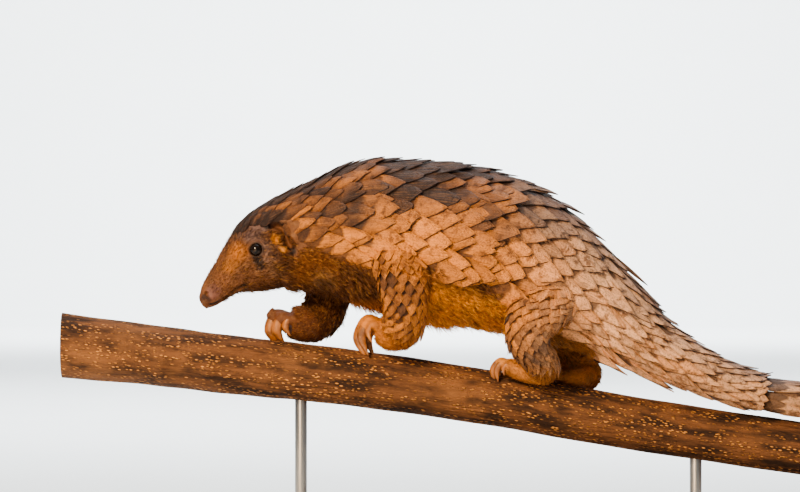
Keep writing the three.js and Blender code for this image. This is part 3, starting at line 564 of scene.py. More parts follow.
def near_path(co, path, side):
    """Distance from each point to a line drawn on the face, how far along it, and the way out."""
    found = [on_face(x, z) for x, z in path]
    steps = np.linspace(0, len(path) - 1, 25)
    spots = through([mirrored(p, side) for p, _ in found], steps)
    outs = unit(through([mirrored(n, side) for _, n in found], steps))
    best, part, push = np.full(len(co), 99.0), np.zeros(len(co)), np.zeros((len(co), 3))
    for i in range(len(spots) - 1):
        a, run = spots[i], spots[i + 1] - spots[i]
        t = np.clip(((co - a) @ run) / (run @ run), 0, 1)
        off = np.linalg.norm(co - a - t[:, None] * run, axis=1)
        closer = off < best
        best = np.where(closer, off, best)
        part = np.where(closer, (i + t) / (len(spots) - 1), part)
        push = np.where(closer[:, None], outs[i], push)
    return best, part, push


def ridge(co, path, side, wide, tall, fade):
    """Raises the skin along a line, or presses it in where tall is negative."""
    best, part, push = near_path(co, path, side)
    ends = smooth(part, -0.02, fade) * (1 - smooth(part, 1 - fade, 1.02))
    return co + push * (tall * ends * np.exp(-(best / wide) ** 2))[:, None]


# Ear: a rim behind, a deep crescent shadow, and a furred lobe in front. Each has its line, its
# width and height in millimetres, and the share of its length over which it rises and fades.
EAR = ((EAR_RIM, 2.3, 2.6, 0.25), (EAR_SHADE, 2.5, -6.0, 0.12), (EAR_LOBE, 3.0, 2.9, 0.25))


def hill(x, at, wide, y=0.0, y_at=0.0, y_wide=1.0):
    """1 at a place and falling off round it: the form that every swelling of the face is made of."""
    return np.exp(-((x - at) / wide) ** 2 - ((y - y_at) / y_wide) ** 2)


def open_eye(co, here, back, turn, out):
    """Presses the socket in to the eyeball's curve, with lids, brow and bag round it."""
    d = co - here
    x, y, z = d @ back, d @ turn, d @ out
    r = np.hypot(x, y)
    e = np.hypot(x / EYE_OPEN[0], y / EYE_OPEN[1])
    ball = np.sqrt(np.maximum(EYE_RADIUS ** 2 - r ** 2, 0)) - EYE_SINK
    lid = hill(e, 1.14, 0.16) * (0.9 + 0.9 * smooth(y, -1, 4))
    under = hill(e, 1.62, 0.2) * (0.8 * smooth(y, 0.5, 4) + 0.9 * smooth(-y, 1, 4))
    brow, bag = hill(x, -1, 9, y, 10, 4.5) * 1.1, hill(x, 1, 5, y, -10, 2) * 0.7
    move = np.where(e < 1, ball - 1.2 - z, lid - under + brow + bag)
    return co + out * np.where((np.abs(z) < 9) & (r < 15), move, 0)[:, None]


def open_nostril(co, side):
    """Raises the nose wing and presses in a comma that opens forward and curls back and up."""
    point, normal = (mirrored(v, side) for v in on_face(*NOSTRIL))
    ahead = unit(NOSE_AIM - normal * (NOSE_AIM @ normal))
    rise = np.cross(normal, ahead) * side
    d = co - point
    x, y, z = d @ -ahead, d @ rise, d @ normal
    comma = hill(x, -0.4, 1.1, y, 0, 1.5) + 0.8 * hill(x, 1.5, 1.5, y, 1.3, 0.6)
    wing = 2.1 * hill(x, 4.8, 3.4, y, 1.5, 4.2) + 0.5 * hill(np.hypot(x, y), 2.8, 0.8)
    return co + normal * np.where(np.abs(z) < 5, wing - 2.4 * np.minimum(comma, 1), 0)[:, None]


def part_lips(co, side):
    """The mouth line, with a lip above and a thin one below."""
    best, part, push = near_path(co, MOUTH, side)
    groove = -1.8 * hill(best, 0, 0.8) + 0.7 * hill(best, 2.0, 1.0)
    return co + push * (groove * (1 - smooth(part, 0.8, 1.02)))[:, None]


co = points_of(skin) / MM
eyes = []
for side in (1, -1):
    for path, wide, tall, fade in EAR:
        co = ridge(co, path, side, wide, tall, fade)
    here, back, turn, out = axes_on(body, EYE_STATION, math.radians(EYE_DEG * side))
    eyes.append((here - out * EYE_SINK, back, turn, out, side))
    co = part_lips(open_nostril(open_eye(co, here, back, turn, out), side), side)

# Nose end, rounded out past the flat end of the tube
PAD, PAD_AIM, PAD_OUT, PAD_WIDE = np.array([-241.5, 0, 186.2]), unit(np.array([-0.846, 0, -0.534])), 2.3, 4.2
d = co - PAD
beside = np.linalg.norm(d - (d @ PAD_AIM)[:, None] * PAD_AIM, axis=1)
co = co + PAD_AIM * (PAD_OUT * hill(beside, 0, PAD_WIDE) * smooth(d @ PAD_AIM, -3.5, 0))[:, None]
move_points(skin, co * MM)
apply(skin, "SMOOTH", factor=0.25, iterations=1)
bpy.ops.object.shade_smooth()
print("face modelled")

# %% [markdown]
# Hair follows the form that it grows on. A pattern can do so only where the form is laid out
# straight, so each point of the skin keeps its place along and across its spine. It also keeps
# how much painted shade it gets in the hollow of an ear and along the mouth line. Both are
# attributes of the mesh, which the finishes read.

# %% Lie of the coat, kept on the skin
BETWEEN_SPINES = 1000  # millimetres, so that no two spines share a place in a finish


def lie_of(which, station, angle):
    """The place of a point on the animal laid out straight, in metres."""
    out = np.zeros((len(station), 3))
    for n, spine in enumerate(SPINES):
        here = which == n
        steps = np.linalg.norm(np.diff(spine.table[:, :3], axis=0), axis=1)
        walk = np.concatenate([[0], np.cumsum(steps)])
        _, _, _, rise, _, half = spine.at(station[here])
        out[here, 0] = np.interp(station[here], spine.stations, walk) + BETWEEN_SPINES * n
        out[here, 1] = half * np.sin(angle[here])
        out[here, 2] = rise * np.cos(angle[here])
    return out * MM


def store(o, name, values):
    """Keeps a number or a vector at each vertex, for the finishes to read."""
    kind, field = ("FLOAT_VECTOR", "vector") if np.ndim(values) == 2 else ("FLOAT", "value")
    data = o.data.attributes.new(name, kind, "POINT").data
    data.foreach_set(field, np.asarray(values, np.float32).ravel())


HEAD_X, EAR_PAINTED_SHADE_WIDE, MOUTH_PAINTED_SHADE_WIDE = -165, 3.2, 1.0


def painted_shade_lines(co):
    """How much painted shade each point gets in the hollow of an ear and along the mouth line."""
    dark = np.zeros(len(co))
    face = co[:, 0] < HEAD_X
    for side in (1, -1):
        for path, wide in ((EAR_SHADE, EAR_PAINTED_SHADE_WIDE), (MOUTH, MOUTH_PAINTED_SHADE_WIDE)):
            best = near_path(co[face], path, side)[0]
            dark[face] = np.maximum(dark[face], 1 - smooth(best, wide * 0.6, wide * 1.4))
    return dark


co = points_of(skin) / MM
which, station, angle, _ = locate(co)
store(skin, "lie", lie_of(which, station, angle))
# The painted shade of ear hollows and mouth line, kept for the finishes.
store(skin, "dark", painted_shade_lines(co))
print("lie stored for", len(co), "points")

# %% [markdown]
# A scale is one horn plate: narrow and thin where it grows out of the skin, broadest past its
# middle, worn to a blunt point. Here each is a small solid with a top, an underside and a rim,
# bent to the curve of the body because its points are placed by station and angle. They lie in
# staggered rows with each tip over the joint of the two behind it. Lengths, widths, points and
# lifts vary a little, and the ones along the lower edge of the mantle stand out from the fur.

# %% Mesh from arrays
def mesh_of(name, co, quads, tris=()):
    """An object from points in metres and its faces."""
    quads, tris = (np.asarray(f, np.int32).reshape(-1, k) for f, k in ((quads, 4), (tris, 3)))
    mesh = bpy.data.meshes.new(name)
    mesh.vertices.add(len(co))
    mesh.vertices.foreach_set("co", np.asarray(co, np.float32).ravel())
    sizes = np.concatenate([np.full(len(quads), 4), np.full(len(tris), 3)]).astype(np.int32)
    mesh.loops.add(int(sizes.sum()))
    mesh.loops.foreach_set("vertex_index", np.concatenate([quads.ravel(), tris.ravel()]))
    mesh.polygons.add(len(sizes))
    starts = np.concatenate([[0], np.cumsum(sizes)[:-1]])
    mesh.polygons.foreach_set("loop_start", starts.astype(np.int32))
    mesh.polygons.foreach_set("use_smooth", np.ones(len(sizes), bool))
    mesh.update(calc_edges=True)
    mesh.validate()
    o = bpy.data.objects.new(name, mesh)
    bpy.context.collection.objects.link(o)
    return o


def uv_of(o, name, per_vertex):
    """A UV map from one place a vertex."""
    loops = np.empty(len(o.data.loops), np.int32)
    o.data.loops.foreach_get("vertex_index", loops)
    layer = o.data.uv_layers.new(name=name)
    layer.data.foreach_set("uv", np.asarray(per_vertex, np.float32)[loops].ravel())


# %% Scale plates
SCALE_COLUMNS, SCALE_ROWS = 9, 7
u_line = np.linspace(-1, 1, SCALE_COLUMNS)
v_line = np.array([0, 0.3, 0.48, 0.64, 0.79, 0.92, 1.0])


def plate_faces():
    """Faces of one plate: top grid, underside and rim."""
    top = np.arange(SCALE_ROWS * SCALE_COLUMNS).reshape(SCALE_ROWS, SCALE_COLUMNS)
    low = top + top.size
    quads = []
    for g, flip in ((top, False), (low, True)):
        q = np.stack([g[:-1, :-1], g[:-1, 1:], g[1:, 1:], g[1:, :-1]], -1).reshape(-1, 4)
        quads.append(q[:, ::-1] if flip else q)
    ring = np.concatenate([top[0], top[1:, -1], top[-1, -2::-1], top[-2:0:-1, 0]])
    under = ring + top.size
    quads.append(np.stack([ring, under, np.roll(under, -1), np.roll(ring, -1)], -1))
    return np.vstack(quads)


PLATE = plate_faces()
PLATE_POINTS = 2 * SCALE_ROWS * SCALE_COLUMNS
BAKE_PATCH = 0.003  # the side of one scale's or tuft's patch of the bake map


def lay_scales(name, spine, root, angle, length, width, height, lift, thick, flare, point, tile, shade):
    """Plates on a spine. All sizes are arrays in millimetres, one value a scale."""
    n = len(root)
    u, v = (grid[None] for grid in np.meshgrid(u_line, v_line))
    col = lambda a: np.asarray(a, float)[:, None, None]
    # Outline: narrow root, broad middle, blunt point with a small hook and a worn edge
    worn = rng.normal(0, 0.014, (n, 1, SCALE_COLUMNS))
    hook = rng.normal(0, 0.12, (n, 1, 1))
    reach = v * (1 - col(point) * np.abs(u) ** 1.6 + 0.07 * np.exp(-((u - hook) / 0.26) ** 2) + worn)
    waist = 0.62 + 0.38 * np.sin(np.clip(v / 0.62, 0, 1) * math.pi / 2)
    s = col(root) + reach * col(length) / col(spine.pace(root, angle))
    beside = [spine.skin(root + 0.3, angle + way * NUDGE) for way in (1, -1)]
    round_pace = np.linalg.norm(beside[0] - beside[1], axis=1) / (2 * NUDGE)
    skew = rng.normal(0, 0.05, n)
    a = col(angle) + (u * waist * col(width) / 2 + v * col(skew * length)) / col(round_pace)
    # Height: rises to the tip, arched across, keeled along the middle, thin at the rim
    rough = rng.normal(0, 0.07, (n, SCALE_ROWS, SCALE_COLUMNS)) * (v > 0)
    rise = col(lift) + col(height) * (-0.45 + 1.45 * reach) + col(flare) * v ** 2
    arch = 0.055 * col(width) * (0.35 - u ** 2) * (0.5 + 0.5 * v)
    top = rise + arch + 0.22 * np.exp(-(u / 0.2) ** 2) * v + rough
    low = top - col(thick) * np.minimum(1, 2.4 * np.minimum(1 - np.abs(u), 1 - v) + 0.5)
    co = np.concatenate([spine.skin(s, a, z).reshape(n, -1, 3) for z in (top, low)], 1)
    faces = (PLATE[None] + (np.arange(n) * PLATE_POINTS)[:, None, None]).reshape(-1, 4)
    o = mesh_of(name, co.reshape(-1, 3) * MM, faces)
    turn_outward(o)
    # The plate's own map runs down the animal on both sides
    flat_u, flat_v = (np.tile(grid.ravel(), 2) for grid in (u, v))
    downward = np.where((angle + math.pi) % (2 * math.pi) > math.pi, 1, -1)
    plate_uv = np.stack([downward[:, None] * flat_u / 2 + 0.5, np.tile(flat_v, (n, 1))], -1)
    uv_of(o, "plate", plate_uv.reshape(-1, 2))
    place = np.column_stack([root / spine.last, (angle / (2 * math.pi)) % 1.0])
    corner = np.array(tile[:2]) + place * (np.array(tile[2:]) - np.array(tile[:2]))
    bake = corner[:, None] + (plate_uv - 0.5) * BAKE_PATCH
    uv_of(o, "OFBake", bake.reshape(-1, 2))
    store(o, "tone", np.repeat(rng.random(n), PLATE_POINTS))
    # The share of the way round from the back, kept at each vertex: the horn finish lays its painted shade on
    # the back by it. Legs bring a value of their own.
    if shade is None:
        shade = np.abs((angle + math.pi) % (2 * math.pi) - math.pi) / math.pi
    store(o, "down", np.repeat(shade, PLATE_POINTS))
    return o


def staggered(spine, spacing, start, end, columns, keep):
    """Roots of scales in staggered rows: station, angle, row length and column width."""
    rows = spine.rows(spacing, start, end)
    step = 2 * math.pi / columns
    s = np.repeat(rows, columns)
    a = ((np.arange(columns) + (np.arange(len(rows))[:, None] % 2) / 2) * step).ravel()
    a = (a + math.pi) % (2 * math.pi) - math.pi
    around = np.linalg.norm(spine.skin(s, a + step / 2) - spine.skin(s, a - step / 2), axis=1)
    kept = keep(s, np.abs(np.degrees(a)), a)
    return s[kept], a[kept], spacing(s[kept]), around[kept]


# %% Scales of the head, neck and trunk
whole = Spine(*[np.concatenate([b, t[1:]]) for b, t in zip(body_parts, tail_parts)])
BODY_SPACING = [(5, 3.6), (6, 4.4), (7, 5.8), (8, 7.8), (9, 9.2), (10, 10.2), (11.5, 10.9), (18, 11)]
# The mantle's edge, which steps back round the ear
MANTLE_DEG = [
    (5.1, 25), (5.6, 40), (6.2, 46), (6.8, 52), (7.3, 60), (7.6, 80), (8, 97), (9, 117), (10, 126),
] + SCALED_DEG[9:]
EDGE_DEG = 14
STANDING_SHARE = 0.08  # of the large scales, whose tips stand up out of their row


def grow_scales(name, spine, cells, edge, tile, heights, point=0.5, shade=None):
    """Scales at their cells, varied at random. Along an edge of 1 they are longer and stand out."""
    s, a, row, around = cells
    n = len(s)
    vary = rng.normal(1, 0.06, (2, n))
    pace = spine.pace(s, a)
    root = np.maximum(s - 0.9 * row / pace, 0)
    length = (3.2 + 0.35 * edge) * row * vary[0]
    width = (1.22 - 0.12 * edge) * around * vary[1]
    level = rng.normal(0.22, 0.07, n) * heights
    stand = np.where(rng.random(n) < STANDING_SHARE, rng.uniform(0.8, 2.4, n), 0)
    stand = stand * smooth(heights, 1.8, 3) * heights / 2
    flare = edge * rng.uniform(1.4, 4.2, n) + np.maximum(rng.normal(-0.4, 0.6, n), 0) * heights / 3 + stand
    points = np.clip(point - 0.12 * edge + rng.normal(0, 0.05, n), 0.3, 0.72)
    thick = 0.35 + 0.25 * heights
    print(name, n, "scales")
    sizes = (length, width, heights * 0.95, level, thick, flare, points)
    return lay_scales(name, spine, root, a, *sizes, tile, shade)


# Each zone's name, first and last station and scales round the body
ZONES = [
    ("scales_head_neck", 4.85, 9.6, 22), ("scales_shoulders", 9.6, 13.2, 20),
    ("scales_trunk", 13.2, 16.6, 20), ("scales_rump", 16.6, 19.6, 18),
]
BODY_TILE, TAIL_TILE = (0.0, 0.0, 0.5, 0.5), (0.0, 0.5, 0.5, 1.0)
scale_pieces = []
for name, start, end, columns in ZONES:
    cells = staggered(
        whole, lambda s: along(BODY_SPACING, s), start, end, columns,
        lambda s, deg, a: deg < along(MANTLE_DEG, s) + rng.normal(0, 2.5, len(s)),
    )
    s, limit = cells[0], along(MANTLE_DEG, cells[0])
    edge = smooth(np.abs(np.degrees(cells[1])), limit - EDGE_DEG, limit - 2) * smooth(s, 7, 9)
    heights = along(BODY_PLATE, np.minimum(s, 18)) * (0.3 + 0.7 * smooth(s, 5.8, 7.2))
    scale_pieces.append(grow_scales(name, whole, cells, edge, BODY_TILE, heights))

# %% Scales of the tail
TAIL_SPACING = [(19, 10.4), (24, 9.6), (32, 8.4), (60, 7.0)]
TAIL_SCALED_DEG, TAIL_POINT = 152, 0.45
TAIL_ZONES = [("scales_tail_base", 19.6, 31, 14), ("scales_tail_end", 31, whole.last - 0.8, 12)]
for name, start, end, columns in TAIL_ZONES:
    cells = staggered(
        whole, lambda s: along(TAIL_SPACING, s), start, end, columns,
        lambda s, deg, a: deg < TAIL_SCALED_DEG,
    )
    heights = along(list(enumerate(tail_plate, body.last)), cells[0])
    scale_pieces.append(grow_scales(name, whole, cells, 0 * heights, TAIL_TILE, heights, TAIL_POINT))

# %% Scales of the legs
LEG_SCALED_TO = {"fore": 0.62, "hind": 0.56}
LEG_SPACING, LEG_COLUMNS, LEG_HEIGHT, LEG_EDGE, LEG_POINT = 5.2, 14, 1.5, 0.25, 0.4
for n, (leg, (spine, side)) in enumerate(LEGS.items()):
    cells = staggered(
        spine, lambda s: np.full(np.shape(s), LEG_SPACING), 0.1, spine.last * LEG_SCALED_TO[leg[:4]],
        LEG_COLUMNS, lambda s, deg, a: -side * np.sin(a) > 0.1 + rng.normal(0, 0.06, len(s)),
    )
    tile = (0.5 + 0.125 * n, 0.0, 0.625 + 0.125 * n, 0.5)
    heights, edge = np.full(len(cells[0]), LEG_HEIGHT), np.full(len(cells[0]), LEG_EDGE)
    # The legs' scales share one middle value, a little varied, so their horn takes part of the back's painted
    # shade.
    shade = rng.normal(0.42, 0.05, len(heights))
    scale_pieces.append(grow_scales("scales_" + leg, spine, cells, edge, tile, heights, LEG_POINT, shade))

# %% [markdown]
# The eyes are glass balls seated in the sockets, so dark that iris and pupil hardly show.

# %% Eyes
eye_pieces = []
for here, back, turn, out, side in eyes:
    name = "eye_left" if side == 1 else "eye_right"
    eye = made(name, bpy.ops.mesh.primitive_uv_sphere_add, segments=48, ring_count=24, radius=1)
    ball = points_of(eye)
    ball = (ball[:, :1] * back + ball[:, 1:2] * turn + ball[:, 2:] * out) * EYE_RADIUS
    move_points(eye, (here + ball) * MM)
    turn_outward(eye)
    bpy.ops.object.shade_smooth()
    eye_pieces.append(eye)
print("eyes:", len(eye_pieces))

# %% Claws, one piece a foot
claw_pieces = []
for leg, own in claws.items():
    claw_pieces.append(join("claws_" + leg, own))
    bpy.ops.object.shade_smooth()
print("claw pieces:", len(claw_pieces))

# %% [markdown]
# The short coat covers what the scales leave bare: face, throat, chest, belly and the inner
# sides of the legs. The finest of it is grain in the skin's own finish. Over that stand tufts:
# each is a few closed tapering blades that lean one way and meet near a common point. They
# follow the lie of the coat from nose to tail and from shoulder to paw.

# %% Tufts
skin_tree = tree_of(skin)
TUFT_SINK, TIP_SCATTER, BEND_OUT, BEND_THIN = 0.35, 0.35, 0.14, 0.8
BLADE_CORNERS = [(math.cos(t), math.sin(t)) for t in (0.5, 2.6, 4.7)]


def scatter(spine, region, count, mirror, limit):
    """Stations and angles spread evenly over the skin of a region."""
    s_low, s_high, a_low, a_high = region
    s = rng.uniform(s_low, s_high, count * 2)
    a = np.radians(rng.uniform(a_low, a_high, count * 2))
    around = spine.at(s)[5] * spine.pace(s, a)
    keep = rng.random(count * 2) < around / around.max()
    if limit is not None:
        keep &= limit(s, np.degrees(a))
    s, a = s[keep], a[keep]
    return s, np.where(rng.random(len(a)) < 0.5, a, -a) if mirror else a


def tufts(name, spine, number, region, count, length, lean, spread, thin, droop=0.0, limit=None, bent=True):
    """Tufts over a region of a spine given as (station low, high, angle low, high) in degrees."""
    blades = 4 if bent else 3
    s, a = scatter(spine, region, count, number == 0, limit)
    step = 0.04
    flow = unit(spine.skin(np.minimum(s + step, spine.last), a) - spine.skin(np.maximum(s - step, 0), a))
    found = [skin_tree.find_nearest(p)[:2] for p in spine.skin(s, a) * MM]
    roots, normals = np.array([f[0] for f in found]) / MM, np.array([f[1] for f in found])
    # Each tuft leans along the coat's flow, and its blades nearly meet at its end
    long = length(s, np.abs(np.degrees(a))) * rng.uniform(0.7, 1.25, len(s))
    swirl = rng.normal(0, 0.16, (len(s), 3))
    flow = unit(flow - normals * np.sum(flow * normals, 1)[:, None] + np.array([0, 0, -droop]))
    lean = rng.normal(lean, 0.08, len(s))[:, None]
    aim = unit(flow * (1 - lean) + normals * lean + swirl)
    n = len(s) * blades
    root, axis, normal, meet, long = (
        np.repeat(v, blades, 0) for v in (roots, aim, normals, roots + aim * long[:, None], long)
    )
    sideways = unit(np.cross(axis, normal) + 1e-6)
    second = unit(np.cross(sideways, normal))
    reach = spread * np.sqrt(rng.random(n))
    where = rng.uniform(0, 2 * math.pi, n)
    root = root + sideways * (reach * np.cos(where))[:, None] + second * (reach * np.sin(where))[:, None]
    root = root - normal * TUFT_SINK
    tip = meet + rng.normal(0, TIP_SCATTER, (n, 3)) * spread - axis * (rng.random(n) * 0.25 * long)[:, None]
    mid = root * 0.5 + tip * 0.5 + normal * (BEND_OUT * np.linalg.norm(tip - root, axis=1))[:, None]
    radius = thin * rng.uniform(0.8, 1.3, n)[:, None]
    # A blade is a three-sided spike, with a ring at its bend where it has one
    rings = [root + (sideways * c + normal * k) * radius for c, k in BLADE_CORNERS]
    if bent:
        rings += [mid + (sideways * c + normal * k) * radius * BEND_THIN for c, k in BLADE_CORNERS]
    per = len(rings) + 1
    co = np.stack(rings + [tip], 1)
    base, low = (np.arange(n) * per)[:, None], per - 4
    tris = [[low + i, low + (i + 1) % 3, per - 1] for i in range(3)] + [[2, 1, 0]]
    quads = [[i, (i + 1) % 3, 3 + (i + 1) % 3, 3 + i] for i in range(3)] if bent else []
    tris, quads = (
        np.concatenate([base + np.array([f]) for f in faces], 0) if faces else () for faces in (tris, quads)
    )
    o = mesh_of(name, co.reshape(-1, 3) * MM, quads, tris)
    turn_outward(o)
    place = np.column_stack([s / spine.last, (a / (2 * math.pi)) % 1.0])
    u0, v0, size = 0.0, 0.0, 0.5
    if number:
        u0, v0, size = 0.5 + 0.25 * (number % 2), 0.5 + 0.25 * (number // 2 % 2), 0.25
    centre = np.repeat(np.array([u0, v0]) + place * size, blades, 0)[:, None]
    halfway = [[-0.7, 0], [0.7, 0], [0, 0]] if bent else []
    local = np.array([[-1, -1], [1, -1], [0, -1]] + halfway + [[0, 1]]) * BAKE_PATCH / 2
    uv_of(o, "OFBake", (centre + local[None]).reshape(-1, 2))
    store(o, "tip", np.tile([0] * 3 + [0.5] * len(halfway) + [1.0], n))
    store(o, "tone", np.repeat(rng.random(len(s)), blades * per))
    # Each tuft takes the painted shade of ear hollow and mouth line at its root.
    store(o, "dark", np.repeat(painted_shade_lines(roots), blades * per))
    print(name, n, "blades,", len(o.data.polygons), "faces")
    return o


def bare_of_scales(margin):
    return lambda s, deg: np.abs(deg) > along(SCALED_DEG, s) + margin


NOSE_END = 1.35
BARE_SPOTS = [((-201.4, 226), 6.9)]
BARE_SPOTS += [(spot, 3.4) for spot in EAR_SHADE] + [(spot, 3.6) for spot in EAR_RIM[1:]]


def off_spots(s, deg):
    """Leaves the eye openings and the ears free."""
    p = body.skin(s, np.radians(np.abs(deg)))
    free = np.ones(len(s), bool)
    for (x, z), radius in BARE_SPOTS:
        free &= np.linalg.norm(p - on_face(x, z)[0], axis=1) > radius
    return free


coat = [
    tufts("fur_face", body, 0, (1.3, 6.9, 0, 180), 9000,
          lambda s, d: 2.2 + 0.34 * s + smooth(d, 120, 165) * 1.8, 0.14, 0.6, 0.15,
          limit=lambda s, d: off_spots(s, d) & (s > NOSE_END) & bare_of_scales(1)(s, d), bent=False),
    tufts("fur_throat", body, 0, (5.9, 9.4, 62, 180), 4900,
          lambda s, d: 5.0 + smooth(d, 95, 150) * 6, 0.24, 1.1, 0.17, 0.25,
          limit=lambda s, d: bare_of_scales(-4)(s, d) & off_spots(s, d)),
    tufts("fur_chest", body, 0, (9.2, 12.6, 96, 180), 4000,
          lambda s, d: 9.0 + smooth(d, 120, 160) * 4, 0.28, 1.3, 0.2, 0.3, bare_of_scales(-5)),
    tufts("fur_belly", body, 0, (12.3, 18, 100, 180), 4000,
          lambda s, d: 9.0 + 0 * s, 0.2, 1.4, 0.2, 0.12, bare_of_scales(-5)),
]
for n, (leg, (spine, side)) in enumerate(LEGS.items(), 2):
    last = spine.last
    bare_from = last * LEG_SCALED_TO[leg[:4]] * 0.95
    coat.append(tufts(
        "fur_" + leg, spine, n, (last * 0.12, last * 0.74, -180, 180), 3150,
        lambda s, d: 7.5 - 3.5 * smooth(s / 7, 0.45, 0.75), 0.2, 1.1, 0.2,
        limit=lambda s, deg: (-side * np.sin(np.radians(deg)) < 0.12) | (s > bare_from),
    ))
    coat.append(tufts(
        "fur_paw_" + leg, spine, n, (last * 0.66, last * 0.99, -180, 180), 3000,
        lambda s, d: 3.4 + 0 * s, 0.14, 0.7, 0.15, bent=False,
    ))

# %% [markdown]
# The perch is a cut length of branch. Its bark is dark and set with rows of pale breathing
# pores that run lengthwise. Both ends are sawn clean. A flat base and two steel rods carry it.

# %% Branch and stand
def bark_lift(s, a):
    """Uneven bark with one knot and one swelling, in millimetres."""
    wave = 0.35 * np.sin(3 * a + 1.7 * s) + 0.25 * np.sin(5 * a - 2.9 * s)
    wave = wave + 0.3 * np.sin(7.3 * s + 2 * np.cos(a))
    knot = 2.2 * np.exp(-((s - 2.1) / 0.12) ** 2 - ((a - math.pi * 0.55) / 0.3) ** 2)
    swelling = 1.3 * np.exp(-((s - 1.35) / 0.1) ** 2 - ((np.cos(a - 1.9) - 1) / 0.12) ** 2)
    return wave * 0.55 - 0.7 + knot + swelling


perch = tube("perch_branch", branch, 0, branch.last, 420, 72, bark_lift)
apply(perch, "TRIANGULATE")
co = points_of(perch) / MM
station = np.interp(co[:, 0], branch.table[:, 0], branch.stations)
centre, _, _, radius, _, _ = branch.at(station)
around = np.arctan2(-(co[:, 1] - centre[:, 1]), co[:, 2] - centre[:, 2])
store(perch, "lie", np.column_stack([co[:, 0], radius * np.sin(around), radius * np.cos(around)]) * MM)
only(perch)
bpy.ops.object.shade_smooth_by_angle(angle=math.radians(50))

BASE = np.array([470, 170, 14])
CORNER_RADIUS, EDGE_RADIUS = 26, 2
EDGES = dict(limit_method="ANGLE", angle_limit=math.radians(60))
base = made("stand_base", bpy.ops.mesh.primitive_cube_add, size=1)
move_points(base, (points_of(base) * BASE + np.array([0, 0, BASE[2] / 2])) * MM)
weights = base.data.attributes.new("bevel_weight_edge", "FLOAT", "EDGE")
for edge in base.data.edges:
    low, high = sorted(base.data.vertices[v].co.z for v in edge.vertices)
    weights.data[edge.index].value = float(high > low + 0.005)
apply(base, "BEVEL", width=CORNER_RADIUS * MM, segments=10, limit_method="WEIGHT")
base.data.attributes.remove(base.data.attributes["bevel_weight_edge"])
apply(base, "BEVEL", width=EDGE_RADIUS * MM, segments=4, **EDGES)
bpy.ops.object.shade_smooth_by_angle(angle=math.radians(35))

ROD_RADIUS, ROD_SINK, COLLAR_RADIUS, COLLAR_TALL, COLLAR_Z = 4.5, 7, 9, 5, 2.4
rods = []
for name, x in (("stand_rod_front", -168), ("stand_rod_rear", 128)):
    centre, radius, _ = branch_at(x)
    low, high = BASE[2] - ROD_SINK, centre[2] - radius + ROD_SINK
    for part, wide, tall, z in (
        (name, ROD_RADIUS, high - low, (low + high) / 2),
        (name.replace("rod", "collar"), COLLAR_RADIUS, COLLAR_TALL, BASE[2] + COLLAR_Z),
    ):
        o = made(part, bpy.ops.mesh.primitive_cylinder_add, vertices=48, radius=wide * MM, depth=tall * MM)
        move_points(o, points_of(o) + np.array([x, 0, z]) * MM)
        apply(o, "BEVEL", width=0.8 * MM, segments=3, **EDGES)
        bpy.ops.object.shade_smooth_by_angle(angle=math.radians(35))
        rods.append(o)
print("stand:", 1 + len(rods), "pieces")

# %% [markdown]
# Finishes. Scales are horn: streaked lengthwise, ringed by growth near the tip, pale at the
# worn rim, mauve brown on the back and orange tan on the flank, where the darker back is partly
# painted shade. Skin and hair share one set of markings, placed on the animal in its own frame
# and the same on both sides; a few of them are painted shade.

# %% Node helpers
def finish_for(name, roughness=0.5, specular=0.5):
    """Begins a finish. The helpers below add their nodes to the finish begun last."""
    global tree, shader
    m = bpy.data.materials.new(name)
    m.use_nodes = True
    tree, shader = m.node_tree, m.node_tree.nodes["Principled BSDF"]
    shader.inputs["Roughness"].default_value = roughness
    shader.inputs["Specular IOR Level"].default_value = specular
    return m


def feed(socket, value):
    """Wires a node's output to a socket, or sets the socket to a plain value."""
    if isinstance(value, bpy.types.NodeSocket):
        tree.links.new(value, socket)
    else:
        socket.default_value = value


def give(name, value):
    feed(shader.inputs[name], value)


def put(kind, inputs=(), **settings):
    n = tree.nodes.new("ShaderNode" + kind)
    for key, value in settings.items():
        setattr(n, key, value)
    for key, value in dict(inputs).items():
        feed(n.inputs[key], value)
    return n


def here_on_it():
    """The place on the animal, in metres of the shared frame."""
    return put("TexCoord").outputs["Object"]


def kept(name, output="Fac"):
    """A value kept at each vertex."""
    return put("Attribute", attribute_name=name).outputs[output]


def paint(*rgb):
    return (*rgb, 1.0)


def mix(factor, a, b):
    n = put("Mix", data_type="RGBA")
    for i, value in ((0, factor), (6, a), (7, b)):
        feed(n.inputs[i], value)
    return n.outputs[2]


def stain(colour, where, strength, *rgb):
    """Tints a colour towards a paint at the places where it is let."""
    return mix(where, colour, mix(strength, colour, paint(*rgb)))


def calc(operation, a, b=0.0):
    return put("Math", {0: a, 1: b}, operation=operation).outputs[0]


def plus(a, b):
    return calc("ADD", a, b)


def minus(a, b):
    return calc("SUBTRACT", a, b)


def times(a, b):
    return calc("MULTIPLY", a, b)


def span(value, low, high, out_low=0.0, out_high=1.0):
    """A smooth step from one value at low to another at high."""
    n = put("MapRange", interpolation_type="SMOOTHSTEP")
    ends = {"Value": value, "From Min": low, "From Max": high, "To Min": out_low, "To Max": out_high}
    for key, v in ends.items():
        feed(n.inputs[key], v)
    return n.outputs[0]


def noise(vector, scale, detail=3.0, roughness=0.55, **more):
    settings = {"Vector": vector, "Scale": scale, "Detail": detail, "Roughness": roughness, **more}
    return put("TexNoise", settings).outputs[0]


def scaled(vector, x, y, z):
    return put("VectorMath", {0: vector, 1: (x, y, z)}, operation="MULTIPLY").outputs[0]


def bump(height, distance, strength=1.0, after=None):
    n = put("Bump", {"Height": height, "Distance": distance, "Strength": strength})
    if after is not None:
        feed(n.inputs["Normal"], after)
    give("Normal", n.outputs[0])
    return n.outputs[0]


def dress(objects, *materials):
    for o in objects:
        o.data.materials.clear()
        for m in materials:
            o.data.materials.append(m)
